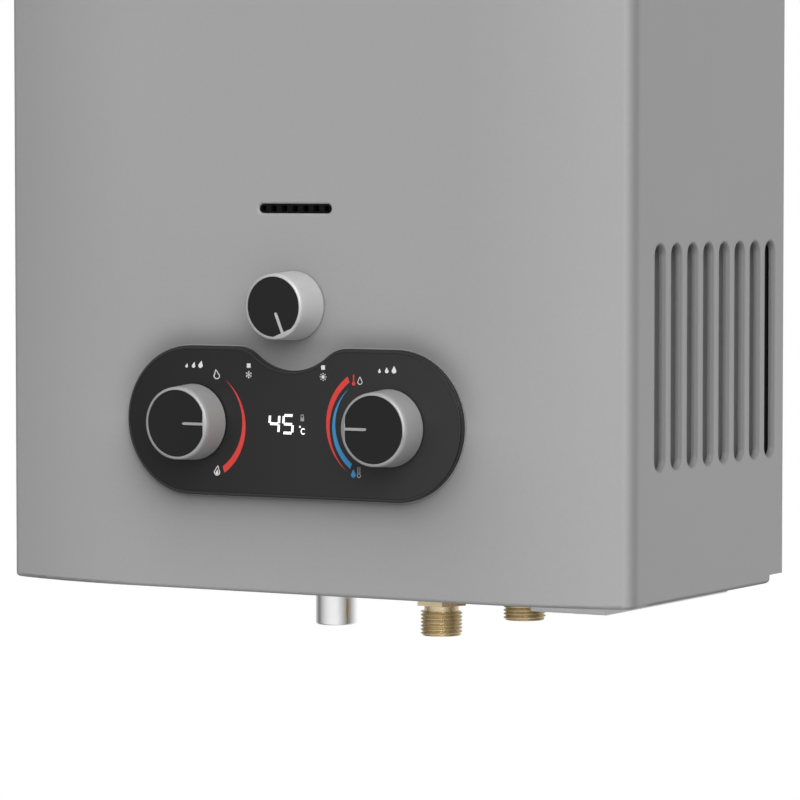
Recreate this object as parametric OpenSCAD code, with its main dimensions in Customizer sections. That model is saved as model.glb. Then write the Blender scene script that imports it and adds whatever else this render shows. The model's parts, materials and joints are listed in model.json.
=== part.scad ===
// Wall-hung instantaneous gas water heater with a bowed steel casing.
// Millimetres. X runs to the right as seen from the front, Y runs from the front to the wall, Z runs up.
// The origin is the middle of the four wall fixings, on the rear face of the back plate.
// Heights named "above the base" are measured from the lower edge of the casing.

/* [Casing] */
// Width of the casing
case_w = 350; // [346:1:366]
// Depth of the casing, from the wall to the flat of the front
case_d = 182; // [181:1:196]
// Height of the casing
case_h = 590; // [584:1:640]
// Width of the flat in the middle of the front
front_flat = 192; // [180:1:204]
// Radius of the bowed parts of the front
bow_r = 234; // [226:1:250]
// Radius of the two upright front corners
corner_r = 6; // [5:0.5:8]
// Radius of the folded upper and lower edges
fold_r = 2; // [1.5:0.1:3]
// Thickness of the painted sheet
sheet_t = 1; // [0.8:0.1:1.2]
// Width of the flange folded in at the top and the bottom
flange_w = 14; // [11:0.5:16]
// Depth of the step in the lower rear corner of each side
step_d = 14.8; // [12:0.2:16]
// Height of the step in the lower rear corner of each side
step_h = 4.2; // [3.6:0.1:5]

/* [Side vents] */
// Number of slots in each side
vent_count = 8; // [4:1:8]
// Distance from the last slot to the wall
vent_rear = 8.9; // [7.5:0.1:15.9]
// Width of a slot over its formed edge
vent_w = 13.6; // [12:0.1:14.4]
// Height of a slot over its formed edge
vent_h = 110; // [80:1:120]
// Height of the lowest point of the slots above the base
vent_base = 61.8; // [50:0.2:70]
// Distance from the flat of the front to the first slot
vent_front = 37; // [34:0.5:38]
// Radius of the formed edge of a slot
vent_edge = 2.1; // [1.5:0.1:2.4]
// Depth of the formed edge of a slot
vent_depth = 3; // [2.5:0.1:4]

/* [Viewing window] */
// Length of the viewing window
window_l = 40.5; // [36:0.5:44]
// Height of the viewing window
window_h = 4.4; // [4:0.1:6]
// Height of the middle of the viewing window above the base
window_z = 187; // [186:0.5:192]
// Radius of the formed edge of the viewing window
window_edge = 1.3; // [1.2:0.1:1.6]
// Number of bars across the viewing window
bar_count = 6; // [3:1:7]
// Distance from one bar to the next
bar_pitch = 6; // [5:0.1:6.2]
// Width of a bar
bar_w = 2.9; // [2:0.1:3.2]

/* [Control panel] */
// Width of the control panel
panel_w = 188.5; // [180:0.5:200]
// Height of the control panel
panel_h = 73; // [68:0.5:76]
// Height of the middle of the control panel above the base
panel_z = 83.5; // [80:0.5:86]
// Thickness of the control panel
panel_t = 3.9; // [3.4:0.1:4.6]
// Width of the step round the control panel's edge
panel_step = 0.6; // [0.4:0.1:0.9]
// Height of the step round the control panel's edge
panel_step_h = 1.1; // [0.8:0.1:1.6]
// Width of the raised rim round the face sheet
panel_rim = 1.6; // [1.6:0.1:3]
// Thickness of the face sheet
face_t = 0.8; // [0.6:0.1:1]
// Radius of the dip under the upper knob
dip_r = 31.4; // [29:0.2:34]
// Radius that blends the dip into the upper edge
dip_blend = 17; // [14:0.5:20]
// Width of the display block
display_w = 26; // [24:0.5:32]
// Height of the display block
display_h = 13; // [12:0.5:16]

/* [Knobs] */
// Distance of the two lower knobs from the middle
knob_x = 55.2; // [53:0.2:57]
// Height of the two lower knobs above the base
knob_z = 82.7; // [80:0.2:85]
// Radius of a lower knob at its skirt
knob_r = 18.6; // [17:0.1:20]
// Height of a lower knob
knob_h = 15.8; // [14:0.1:18]
// Height of the upper knob above the base
season_z = 140.2; // [138:0.2:142]
// Radius of the upper knob at its skirt
season_r = 16.75; // [15:0.25:18]
// Height of the upper knob
season_h = 19.5; // [18:0.1:21]
// How much narrower a knob is at its face, on the radius
knob_taper = 0.5; // [0.2:0.1:1]
// Width of the metal ring round a knob's inlay
knob_ring = 1.3; // [1:0.1:1.8]
// Depth of a knob's inlay below the ring
inlay_drop = 0.5; // [0.3:0.1:0.8]
// Thickness of a knob's inlay
inlay_t = 0.8; // [0.6:0.1:1]
// Width of the pointer bar
pointer_w = 2; // [1.6:0.1:2.6]
// Radius of the spindles
spindle_r = 3; // [2.5:0.1:3.4]
// Turn of the upper knob's pointer from straight down, in degrees
season_turn = 22.5; // [0:0.5:40]

/* [Connections] */
// Distance of the three connections from the flat of the front
conn_in = 90; // [88:0.5:92]
// Place of the hot outlet across the casing
hot_x = -30; // [-34:0.5:-26]
// Place of the gas inlet across the casing
gas_x = 31; // [30:0.5:33]
// Place of the cold inlet across the casing
cold_x = 78; // [77:0.5:81]
// How far the hot outlet reaches below the base
hot_drop = 23.8; // [20:0.2:28]
// How far the gas inlet reaches below the base
gas_drop = 26.2; // [25:0.2:30]
// How far the cold inlet reaches below the base
cold_drop = 16; // [15:0.2:20]
// Outer radius of the half-inch connection threads
thread_r = 10.4775; // [10.4:0.01:10.6]
// Length of a connection thread
thread_l = 12.1; // [10:0.1:13]
// Radius of the neck above a thread
neck_r = 8.65; // [8:0.05:9]
// Radius of the smooth hot outlet
hot_r = 10.4; // [10:0.1:10.6]
// Bore radius of the three connections
conn_bore_r = 6.6; // [6:0.1:6.8]
// Height of the tops of the connections above the base
conn_top = 34; // [33:0.5:35]
// Width across the flats of the connections' hexagons
hex_af = 24; // [23:0.5:25]

/* [Back plate and trays] */
// Thickness of the back plate and the trays
plate_t = 1.2; // [1:0.1:1.5]
// Distance between the wall fixings across the casing
fix_w = 220; // [200:1:230]
// Distance between the wall fixings up the casing
fix_h = 500; // [480:1:520]
// Radius of the wall fixing holes
fix_r = 3.5; // [3:0.1:4.5]
// Depth of the tabs that take the cover screws
tab_d = 14; // [12:0.5:16]
// Height of the tabs that take the cover screws
tab_h = 20; // [16:1:24]
// Distance of the inner side baffles from the casing's outer face
baffle_gap = 7; // [6:0.2:9]

/* [Flue] */
// Outer radius of the flue collar
flue_r = 55; // [50:0.5:56]
// Height of the flue collar above the casing
flue_h = 40; // [30:1:60]
// Wall of the flue collar
flue_wall = 0.8; // [0.6:0.1:1.2]
// Distance from the hood's neck to the top of the casing
flue_reach = 52.7; // [40:0.1:60]

/* [Heat exchanger] */
// Width of the combustion chamber
chamber_w = 230; // [226:1:232]
// Distance of the combustion chamber from the flat of the front
chamber_in = 42; // [41:0.5:43]
// Distance of the combustion chamber from the wall
chamber_gap = 28; // [27.5:0.5:29]
// Height of the combustion chamber
chamber_h = 235; // [230:1:240]
// Wall of the combustion chamber
chamber_wall = 1; // [0.8:0.1:1.2]
// Outer radius of the copper tube
tube_r = 6.35; // [6:0.05:6.5]
// Bore radius of the copper tube
tube_bore_r = 5.4; // [5:0.05:5.6]
// Height of the first turn of the coil above the chamber's lower edge
coil_z = 25; // [22:0.5:28]
// Rise of the coil in one turn
coil_pitch = 28; // [26:0.5:32]
// Height of the fin tubes above the chamber's lower edge
fin_tube_z = 192; // [188:0.5:196]
// Number of fins
fin_count = 29; // [20:1:29]
// Distance from one fin to the next
fin_pitch = 7.5; // [6:0.1:7.6]
// Height of a fin
fin_h = 50; // [40:1:56]
// Thickness of a fin
fin_t = 0.6; // [0.5:0.1:0.8]

/* [Burner] */
// Number of burner bars
burner_count = 10; // [6:1:10]
// Distance from one burner bar to the next
burner_pitch = 21; // [19:0.5:21.5]
// Width of the head of a burner bar
burner_w = 12; // [11:0.5:13]
// Height of a burner bar
burner_h = 62; // [60:0.5:64]
// Radius of the mixing tube at the foot of a burner bar
mixer_r = 8; // [7:0.1:8.4]
// Radius of the gas manifold
manifold_r = 8; // [7.5:0.1:8.5]
// Distance of the manifold from the front of the burner
manifold_gap = 14; // [13.5:0.1:14.5]

/* [Valves] */
// Distance of the axis of the two valves from the flat of the front
valve_in = 52; // [51:0.5:53]
// Radius of the gas valve's barrel
gas_valve_r = 20; // [18:0.5:20.5]
// Radius of the water valve's barrel
water_valve_r = 17; // [15:0.5:18]
// Radius of the water valve's diaphragm housing
diaphragm_r = 29; // [27:0.5:30]
// Radius of the push rod
rod_r = 3; // [2.5:0.1:3.4]
// Travel of the push rod
rod_travel = 3.5; // [3:0.1:4]

/* [Battery box] */
// Distance of the left face of the battery box from the casing's side
box_side = 61.5; // [60:0.5:63]
// Width of the battery box
box_w = 40; // [38:0.5:42]
// Length of the battery box
box_l = 135; // [133:0.5:137]
// Distance of the battery box from the wall
box_back = 17.5; // [16.5:0.5:19]
// How far the battery box reaches below the base
box_drop = 5; // [4.6:0.1:6]
// Thickness of the battery door
door_t = 3; // [2.6:0.1:3.4]
// Wall of the battery box
box_wall = 1.6; // [1.4:0.1:2]
// Radius of a battery
cell_r = 16.6; // [15.5:0.1:16.9]
// Length of a battery without its stud
cell_l = 59.5; // [58:0.1:60]

/* [Fits] */
// Gap between pieces that rest against each other
seat = 0.3; // [0.2:0.05:0.4]
// Running clearance of a shaft, on the radius
run = 0.05; // [0.02:0.01:0.09]
// Gap between a knob's skirt and the surface behind it
skirt_gap = 0.8; // [0.5:0.1:1.2]

/* [Hidden] */
$fn = 48;

paint = [0.62, 0.62, 0.62];
zinc = [0.72, 0.74, 0.76];
steel = [0.75, 0.76, 0.78];
brass = [0.72, 0.58, 0.36];
copper = [0.76, 0.48, 0.33];
black = [0.17, 0.17, 0.18];
ivory = [0.8, 0.8, 0.78];
eps = 0.05;

// The base of the casing in the part's own frame, whose origin is half way up.
base_z = -case_h / 2;
half_w = case_w / 2;
front_y = -case_d;

// The bow and the corners of the casing share their centres with every inner line.
bow_x = front_flat / 2;
bow_y = front_y + bow_r;
corner_x = half_w - corner_r;
corner_y = bow_y - sqrt(pow(bow_r - corner_r, 2) - pow(corner_x - bow_x, 2));
corner_a = atan2(corner_y - bow_y, corner_x - bow_x);
corner_lap = 0.02;

// The slots stand evenly between the first and the last.
vent_pitch = (case_d - vent_front - vent_w - vent_rear) / (vent_count - 1);

// Levels of the trays and the inner stack, above the base.
tray_gap = seat + 0.1;
tray_z = sheet_t + seat;
tray_top = tray_z + plate_t;
roof_top = case_h - sheet_t - seat;
back_z0 = step_h;
back_z1 = roof_top - plate_t - seat;
chamber_z = window_z - 7;
chamber_top = chamber_z + chamber_h;
frame_top = chamber_z - seat;
burner_top = frame_top - 2;
mixer_z = burner_top - burner_h + mixer_r;
manifold_top = mixer_z + manifold_r;
riser_top = mixer_z - manifold_r - 0.5;
fin_z = chamber_z + fin_tube_z;

// Places measured from the wall.
conn_y = case_d - conn_in;
valve_y = case_d - valve_in;
chamber_back = -chamber_gap;
chamber_front = front_y + chamber_in;
chamber_d = chamber_back - chamber_front;
duct_y = (chamber_back + chamber_front) / 2;
manifold_y = chamber_front - manifold_gap;
tube_gap = tube_r + seat;
coil_x = chamber_w / 2 + tube_gap;
coil_y0 = chamber_front - tube_gap;
coil_y1 = chamber_back + tube_gap;
knob_y = front_y - panel_t - skirt_gap;
season_y = front_y - skirt_gap;
boss_y = -valve_y - 32;
season_back = chamber_front - 8;
season_front = season_back - 28;
spindle_depth = 12;
bend = 14;
coil_bend = 12;
fin_tube_pitch = (chamber_d - 32) / 4;
fin_tube_y = [for (i = [0 : 4]) duct_y + fin_tube_pitch * (2 - i)];
fin_end = chamber_w / 2 + 7;
link_x = fin_end + 25;
box_x = half_w - box_side;
box_x1 = box_x + box_w;
box_y1 = -box_back;
box_y0 = box_y1 - box_l;
box_top = 34;
door_z = -box_drop;
hinge_y = box_y1 + 3;
hinge_z = door_z + door_t / 2 + 0.7;
hinge_r = 2.2;
hinge_pin_r = 1.1;
cell_z = door_z + door_t + seat + cell_r;
panel_top = panel_z + panel_h / 2;
dip_z = panel_top - dip_blend;
dip_x = sqrt(pow(dip_r + dip_blend, 2) - pow(season_z - dip_z, 2));
control_box_z = 56;
control_box_h = 120;
control_box_w = 56;
control_box_x = half_w - 4.5 - control_box_w;
control_box_y = -26;
control_base_t = 11;
lid_edge = 6;
screw_levels = [330, case_h - 50];

// Puts what is drawn above the base into the part's frame.
module above_base() {
    translate([0, 0, base_z])
        children();
}

// Stands a drawing in x and y upright, so that y runs up and the depth runs to the front.
module facing_front(x, y, z) {
    translate([x, y, z])
        rotate([90, 0, 0])
            children();
}

// Lays a drawing on the axis that the two valves share, with z running to the right from x.
module on_valve_axis(x) {
    translate([x, -valve_y, knob_z])
        rotate([0, 90, 0])
            children();
}

// Carries an outline in x (inwards) and y (upwards) along a straight line on the floor.
module along_line(from, to) {
    length = norm(to - from);
    t = (to - from) / length;
    multmatrix([
        [-t[1], 0, t[0], from[0]],
        [t[0], 0, t[1], from[1]],
        [0, 1, 0, 0],
        [0, 0, 0, 1]])
        linear_extrude(length)
            children();
}

// Carries an outline round an arc, with the arc's centre on the inner side.
module round_arc(centre, radius, start, sweep) {
    translate(centre)
        rotate(start)
            rotate_extrude(angle = sweep)
                translate([radius, 0])
                    mirror([1, 0])
                        children();
}

// A slot outline with round ends, w wide and h high, round the origin.
module slot_outline(w, h) {
    r = min(w, h) / 2;
    if (w < h) {
        square([w, h - 2 * r], center = true);
        for (s = [-1, 1])
            translate([0, s * (h / 2 - r)])
                circle(r);
    } else {
        square([w - 2 * r, h], center = true);
        for (s = [-1, 1])
            translate([s * (w / 2 - r), 0])
                circle(r);
    }
}

// The casing's outline, a set distance inside its outer face. Its corners are pulled in by lap.
module casing_outline(inset, lap) {
    r = corner_r - lap - inset;
    translate([inset - half_w, corner_y])
        square([case_w - 2 * inset, -corner_y]);
    translate([-bow_x, front_y + inset])
        square([front_flat, case_d - inset]);
    for (s = [-1, 1])
        intersection() {
            translate([s * bow_x, bow_y])
                circle(bow_r - inset);
            polygon([
                [s * bow_x, bow_y],
                [s * bow_x, front_y - bow_r],
                [s * (bow_x + 2 * bow_r * cos(corner_a)), bow_y + 2 * bow_r * sin(corner_a)]]);
            translate([-case_w, 2 * front_y])
                square([2 * case_w, 2 * case_d]);
        }
    for (s = [-1, 1])
        translate([s * corner_x, corner_y])
            circle(r);
}

// The same outline for insets deeper than the corner radius, with sharp corners.
module casing_opening(inset) {
    intersection() {
        translate([inset - half_w, front_y])
            square([case_w - 2 * inset, case_d + 10]);
        union() {
            translate([-bow_x, front_y + inset])
                square([front_flat, case_d + 10 - inset]);
            for (s = [-1, 1])
                translate([s * bow_x, bow_y])
                    circle(bow_r - inset);
        }
    }
}

// Carries the wall's cross-section round the two sides and the bowed front.
// The corners lie a hair deeper than the rest and reach into it, so that no two faces nearly touch.
module round_casing() {
    over = 2;
    along_line([-bow_x, front_y], [bow_x, front_y])
        wall_section();
    on_both_sides() {
        round_arc([bow_x, bow_y], bow_r, 270, 90 + corner_a)
            wall_section();
        round_arc([corner_x, corner_y], corner_r, corner_a - over, 2 * over - corner_a)
            sunk_section();
        along_line([half_w, corner_y], [half_w, 0])
            wall_section();
    }
}

// Cross-section of the cover's wall with its two folds.
module wall_section() {
    translate([0, fold_r])
        square([sheet_t, case_h - 2 * fold_r]);
    for (m = [0, 1])
        translate([0, m * case_h])
            mirror([0, m])
                fold_section();
}

// The same section, sunk a hair at the face and at both folds.
module sunk_section() {
    translate([corner_lap, fold_r])
        square([sheet_t, case_h - 2 * fold_r]);
    for (m = [0, 1])
        translate([corner_lap, m * (case_h - 2 * corner_lap) + corner_lap])
            mirror([0, m])
                fold_section();
}

module fold_section() {
    intersection() {
        translate([fold_r, fold_r])
            difference() {
                circle(fold_r);
                circle(fold_r - sheet_t);
            }
        square([fold_r, fold_r]);
    }
}

// The formed edge of a slot: x runs outwards from the opening, y runs into the casing.
module edge_section(edge, depth) {
    intersection() {
        translate([edge, edge])
            difference() {
                circle(edge);
                circle(edge - sheet_t);
            }
        square([edge, edge]);
    }
    translate([0, edge])
        square([sheet_t, depth - edge]);
}

// The formed edge carried round a slot that is w by h over the edge, lying on the floor.
module formed_slot(w, h, edge, depth) {
    half = w / 2 - edge;
    run_l = h - w;
    for (s = [0, 1])
        mirror([s, 0, 0])
            translate([half, run_l / 2, 0])
                rotate([90, 0, 0])
                    linear_extrude(run_l)
                        edge_section(edge, depth);
    for (s = [0, 1])
        mirror([0, s, 0])
            translate([0, run_l / 2, 0])
                rotate_extrude(angle = 180)
                    translate([half, 0])
                        edge_section(edge, depth);
}

// Places its children at each vent, with z running into the casing from the right side's outer face.
module at_vents() {
    for (i = [0 : vent_count - 1])
        translate([half_w, front_y + vent_front + vent_w / 2 + i * vent_pitch, vent_base + vent_h / 2])
            rotate([90, 0, -90])
                children();
}

module on_both_sides() {
    children();
    mirror([1, 0, 0])
        children();
}

module front_cover() {
    color(paint)
    above_base() {
        difference() {
            union() {
                round_casing();
                for (z = [0, case_h - sheet_t])
                    translate([0, 0, z])
                        linear_extrude(sheet_t)
                            difference() {
                                casing_outline(fold_r, -4 * corner_lap);
                                casing_opening(flange_w);
                            }
            }
            on_both_sides()
                at_vents()
                    translate([0, 0, -1])
                        linear_extrude(vent_edge + 1)
                            slot_outline(vent_w, vent_h);
            on_both_sides()
                corner_step();
            facing_front(0, front_y + sheet_t + 1, window_z)
                linear_extrude(sheet_t + 2)
                    slot_outline(window_l + 2 * window_edge, window_h + 2 * window_edge);
            for (p = [[-knob_x, knob_z], [knob_x, knob_z], [0, season_z]])
                facing_front(p[0], front_y + sheet_t + 1, p[1])
                    cylinder(r = spindle_r + 2, h = sheet_t + 2);
            for (p = stud_places)
                facing_front(p[0], front_y + sheet_t + 1, p[1])
                    cylinder(r = stud_r + seat, h = sheet_t + 2);
            facing_front(0, front_y + sheet_t + 1, panel_z)
                translate([-display_w / 2 - 3, -display_h / 2 - 3, 0])
                    cube([display_w + 6, display_h + 6, sheet_t + 2]);
            on_both_sides()
                for (z = screw_levels)
                    translate([half_w - sheet_t - 1, -tab_d / 2, z])
                        rotate([0, 90, 0])
                            cylinder(r = screw_r + seat, h = sheet_t + 2);
        }
        on_both_sides()
            at_vents()
                formed_slot(vent_w, vent_h, vent_edge, vent_depth);
        translate([0, front_y, window_z])
            rotate([-90, 90, 0])
                formed_slot(window_h + 2 * window_edge, window_l + 2 * window_edge, window_edge, 2.2);
    }
}

// What is cut away at the lower rear corner of the right side.
module corner_step() {
    turn_r = 3;
    translate([half_w - flange_w - 1, -step_d, -1])
        cube([flange_w + 2, step_d + 1, step_h + 1]);
    translate([half_w - flange_w - 1, -step_d - turn_r, 0])
        rotate([90, 0, 90])
            linear_extrude(flange_w + 2)
                difference() {
                    translate([0, -1])
                        square([turn_r + eps, turn_r + 1]);
                    translate([0, turn_r])
                        circle(turn_r);
                    translate([-1, -1])
                        square([1, 1]);
                }
}

screw_r = 1.9;
stud_r = 2;
stud_places = [[-78, 60], [78, 60], [-78, 106], [78, 106]];

module cover_screws() {
    color(steel)
    above_base()
    on_both_sides()
        for (z = screw_levels)
            translate([half_w, -tab_d / 2, z])
                rotate([0, 90, 0]) {
                    cylinder(r = 3.8, h = 1.2);
                    translate([0, 0, 1.2])
                        cylinder(r1 = 3.8, r2 = 2.4, h = 0.8);
                    translate([0, 0, -7])
                        cylinder(r = screw_r, h = 7);
                }
}

module back_plate() {
    width = case_w - 2 * sheet_t - 2 * seat;
    color(zinc)
    above_base()
    difference() {
        union() {
            translate([-width / 2, -plate_t, back_z0])
                cube([width, plate_t, back_z1 - back_z0]);
            translate([-width / 2, -step_d, back_z0])
                cube([width, step_d, plate_t]);
            translate([-width / 2, -step_d, back_z0])
                cube([width, plate_t, 10]);
            translate([-width / 2, -tab_d, back_z1 - plate_t])
                cube([width, tab_d, plate_t]);
            on_both_sides()
                for (z = screw_levels)
                    translate([width / 2 - plate_t, -tab_d, z - tab_h / 2])
                        cube([plate_t, tab_d, tab_h]);
            for (x = [-60, 0, 60])
                translate([x, -plate_t, case_h * 0.62])
                    rotate([90, 0, 0])
                        linear_extrude(3)
                            slot_outline(14, 300);
        }
        for (x = [-60, 0, 60])
            translate([x, eps, case_h * 0.62])
                rotate([90, 0, 0])
                    linear_extrude(3 + eps)
                        slot_outline(14 - 2 * plate_t, 300 - 2 * plate_t);
        for (x = [-1, 1])
            for (z = [-1, 1])
                translate([x * fix_w / 2, 1, case_h / 2 + z * fix_h / 2])
                    rotate([90, 0, 0])
                        cylinder(r = fix_r, h = plate_t + 2);
        on_both_sides()
            for (z = screw_levels)
                translate([width / 2 - plate_t - 1, -tab_d / 2, z])
                    rotate([0, 90, 0])
                        cylinder(r = screw_r + run, h = plate_t + 2);
    }
}

// A flat tray that fills the casing's outline, in front of the rear step.
module tray(gap, rear) {
    intersection() {
        casing_outline(sheet_t + gap, corner_lap);
        translate([-case_w, front_y])
            square([2 * case_w, case_d - rear]);
    }
}

module top_panel() {
    color(zinc)
    above_base()
    translate([0, 0, roof_top - plate_t])
        difference() {
            linear_extrude(plate_t)
                tray(tray_gap, 0);
            translate([0, duct_y, -1])
                cylinder(r = flue_r - 0.5, h = plate_t + 2);
            for (s = [-1, 1])
                for (i = [0 : 5])
                    translate([s * (90 + i * 11), duct_y, -1])
                        linear_extrude(plate_t + 2)
                            slot_outline(5, 70);
        }
}

module bottom_panel() {
    lip_y = -step_d - seat - plate_t;
    lip_w = case_w - 2 * (sheet_t + seat);
    color(zinc)
    above_base()
    difference() {
        union() {
            translate([0, 0, tray_z])
                linear_extrude(plate_t)
                    tray(tray_gap, -lip_y - plate_t);
            translate([-lip_w / 2, lip_y, tray_z])
                cube([lip_w, plate_t, 12]);
        }
        for (x = [hot_x, gas_x, cold_x])
            translate([x, -conn_y, 0])
                cylinder(r = conn_top / 3 + 1, h = tray_top + 1);
        translate([box_x - seat, box_y0 - seat, 0])
            cube([box_w + 2 * seat, box_l + 2 * seat, 20]);
        translate([box_x + 4, box_y1 - 1, 0])
            cube([box_w - 8, 8, 20]);
        translate([knob_x, -valve_y, 0])
            cylinder(r = drain_wing + 1, h = tray_top + 1);
        for (s = [-1, 1])
            for (i = [0 : 4])
                translate([-96 + i * 12, -conn_y + s * 42, 0])
                    linear_extrude(tray_top + 1)
                        slot_outline(5, 44);
    }
}

drain_wing = 8;

module side_baffle() {
    x1 = half_w - baffle_gap;
    y0 = front_y + 25;
    length = -step_d - plate_t - 2 * seat - y0;
    translate([x1 - plate_t, y0, tray_top + seat])
        cube([plate_t, length, window_z - tray_top]);
    translate([x1 - 11, y0, tray_top + seat])
        cube([11, length, plate_t]);
}

module side_baffle_left() {
    color(zinc)
    above_base()
    mirror([1, 0, 0])
        side_baffle();
}

module side_baffle_right() {
    color(zinc)
    above_base()
    side_baffle();
}

// The louvre of the viewing window, pushed into the window from behind.
module viewing_grille() {
    plate_y = front_y + 2.2 + seat;
    color(black)
    above_base()
    difference() {
        union() {
            facing_front(0, plate_y + 1.6, window_z)
                linear_extrude(1.6)
                    slot_outline(window_l + 8, window_h + 8);
            facing_front(0, plate_y, window_z)
                linear_extrude(2)
                    slot_outline(window_l - 2 * seat, window_h - 2 * seat);
        }
        facing_front(0, plate_y + 2, window_z)
            linear_extrude(6)
                difference() {
                    slot_outline(window_l - 2, window_h - 1.6);
                    for (i = [0 : bar_count - 1])
                        translate([(i - (bar_count - 1) / 2) * bar_pitch, 0])
                            square([bar_w, window_h + 1], center = true);
                }
    }
}

module viewing_glass() {
    color([0.7, 0.75, 0.72, 0.5])
    above_base()
    facing_front(0, front_y + 2.2 + seat + 1.6 + seat + 1, window_z)
        linear_extrude(1)
            slot_outline(window_l + 6, window_h + 6);
}

// The control panel's outline, a set distance inside its edge, with x across and y up.
module panel_outline(inset) {
    difference() {
        translate([0, panel_z])
            slot_outline(panel_w - 2 * inset, panel_h - 2 * inset);
        translate([0, season_z])
            circle(dip_r + inset);
        for (s = [-1, 1])
            polygon([
                [s * dip_x, dip_z],
                [s * dip_x, season_z + dip_r],
                [0, season_z + dip_r],
                [0, season_z]]);
    }
    for (s = [-1, 1])
        translate([s * dip_x, dip_z])
            circle(dip_blend - inset);
}

module panel_holes(depth) {
    for (s = [-1, 1])
        translate([s * knob_x, knob_z, -1])
            cylinder(r = spindle_r + 1.5, h = depth + 2);
}

module control_panel() {
    recess = face_t + 0.2;
    color(black)
    above_base()
    facing_front(0, front_y, 0) {
        difference() {
            union() {
                linear_extrude(panel_t - panel_step_h)
                    panel_outline(0);
                linear_extrude(panel_t)
                    panel_outline(panel_step);
            }
            translate([0, 0, panel_t - recess])
                linear_extrude(recess + 1)
                    panel_outline(panel_rim);
            panel_holes(panel_t);
            translate([-display_w / 2 - 1, panel_z - display_h / 2 - 1, -1])
                cube([display_w + 2, display_h + 2, panel_t + 2]);
        }
        for (p = stud_places)
            translate([p[0], p[1], -sheet_t - 4])
                cylinder(r = stud_r, h = sheet_t + 4 + eps);
    }
}

module panel_face() {
    color([0.2, 0.2, 0.21])
    above_base()
    facing_front(0, front_y, 0)
        translate([0, 0, panel_t - 0.2 - face_t])
            difference() {
                linear_extrude(face_t)
                    panel_outline(panel_rim + 0.1);
                panel_holes(face_t);
            }
}

module display_module() {
    board_y = front_y + 8;
    color([0.12, 0.2, 0.14])
    above_base() {
        translate([-30, board_y - 1.6, panel_z - 17])
            cube([60, 1.6, 34]);
        translate([-display_w / 2, front_y - panel_t + 0.2 + face_t + seat, panel_z - display_h / 2])
            cube([display_w, board_y - front_y + panel_t - 0.2 - face_t - seat - 1.5, display_h]);
        for (x = [-1, 1])
            for (z = [-1, 1])
                facing_front(x * 26, board_y - 1.5, panel_z + z * 13)
                    cylinder(r = 2.2, h = board_y - 1.5 - front_y - sheet_t - seat);
    }
}

// The upright outline of a knob, from its skirt at zero to its face.
module knob_profile(r, h) {
    edge = 0.5;
    face_r = r - 2 * knob_taper;
    polygon([[0, 0], [r, 0], [face_r, h - edge], [face_r - edge, h], [0, h]]);
}

// The inlay's outline: a disc cut off square on the pointer's side, with room for the bar.
module inlay_outline(r, gap) {
    bar_in = r * 0.28;
    difference() {
        circle(r - gap);
        translate([r - 1 - gap, -r])
            square([2 * r, 2 * r]);
        translate([bar_in, -pointer_w / 2 - gap])
            square([r, pointer_w + 2 * gap]);
        translate([bar_in, 0])
            circle(pointer_w / 2 + gap);
    }
}

// A hollow knob with its hub, its face towards +z and its pointer towards +x.
module knob(r, h) {
    inlay_r = r - 2 * knob_taper - knob_ring;
    wall = 1.6;
    top = 3;
    difference() {
        rotate_extrude()
            knob_profile(r, h);
        translate([0, 0, h - inlay_drop - inlay_t])
            linear_extrude(inlay_drop + inlay_t + 1)
                inlay_outline(inlay_r, 0);
        difference() {
            translate([0, 0, -1])
                cylinder(r = r - 2 * knob_taper - wall, h = h - top + 1);
            translate([0, 0, -2])
                cylinder(r = spindle_r + 2.4, h = h + 2);
        }
        translate([0, 0, -1])
            cylinder(r = spindle_r + run, h = h - top - 1 + 1);
    }
}

module knob_inlay(r, h) {
    inlay_r = r - 2 * knob_taper - knob_ring;
    translate([0, 0, h - inlay_drop - inlay_t])
        linear_extrude(inlay_t)
            inlay_outline(inlay_r, 0.05);
}

// A spindle from the bottom of its valve's bore to the end of its knob's hub.
module spindle(valve_front, knob_back, h) {
    cylinder(r = spindle_r, h = valve_front - knob_back + spindle_depth - seat + h - 4 - seat);
}

module season_knob() {
    color(steel)
    above_base()
    facing_front(0, season_y, season_z)
        rotate(season_turn - 90)
            knob(season_r, season_h);
}

module season_knob_inlay() {
    color(black)
    above_base()
    facing_front(0, season_y, season_z)
        rotate(season_turn - 90)
            knob_inlay(season_r, season_h);
}

module season_spindle() {
    color(brass)
    above_base()
    facing_front(0, season_front + spindle_depth - seat, season_z)
        spindle(season_front, season_y, season_h);
}

module temp_knob() {
    color(steel)
    above_base()
    facing_front(-knob_x, knob_y, knob_z)
        knob(knob_r, knob_h);
}

module temp_knob_inlay() {
    color(black)
    above_base()
    facing_front(-knob_x, knob_y, knob_z)
        knob_inlay(knob_r, knob_h);
}

module temp_spindle() {
    color(brass)
    above_base()
    facing_front(-knob_x, boss_y + spindle_depth - seat, knob_z)
        spindle(boss_y, knob_y, knob_h);
}

module water_knob() {
    color(steel)
    above_base()
    facing_front(knob_x, knob_y, knob_z)
        rotate(180)
            knob(knob_r, knob_h);
}

module water_knob_inlay() {
    color(black)
    above_base()
    facing_front(knob_x, knob_y, knob_z)
        rotate(180)
            knob_inlay(knob_r, knob_h);
}

module water_spindle() {
    color(brass)
    above_base()
    facing_front(knob_x, boss_y + spindle_depth - seat, knob_z)
        spindle(boss_y, knob_y, knob_h);
}

function unit(v) = v / norm(v);

// Two directions square to d, for placing a cylinder along it.
function side_of(d) = unit(abs(d[2]) > 0.9 ? cross([0, 1, 0], d) : cross([0, 0, 1], d));

// A straight round bar from one point to another.
module bar(from, to, r) {
    d = unit(to - from);
    u = side_of(d);
    v = cross(d, u);
    multmatrix([
        [u[0], v[0], d[0], from[0]],
        [u[1], v[1], d[1], from[1]],
        [u[2], v[2], d[2], from[2]],
        [0, 0, 0, 1]])
        cylinder(r = r, h = norm(to - from));
}

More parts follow.
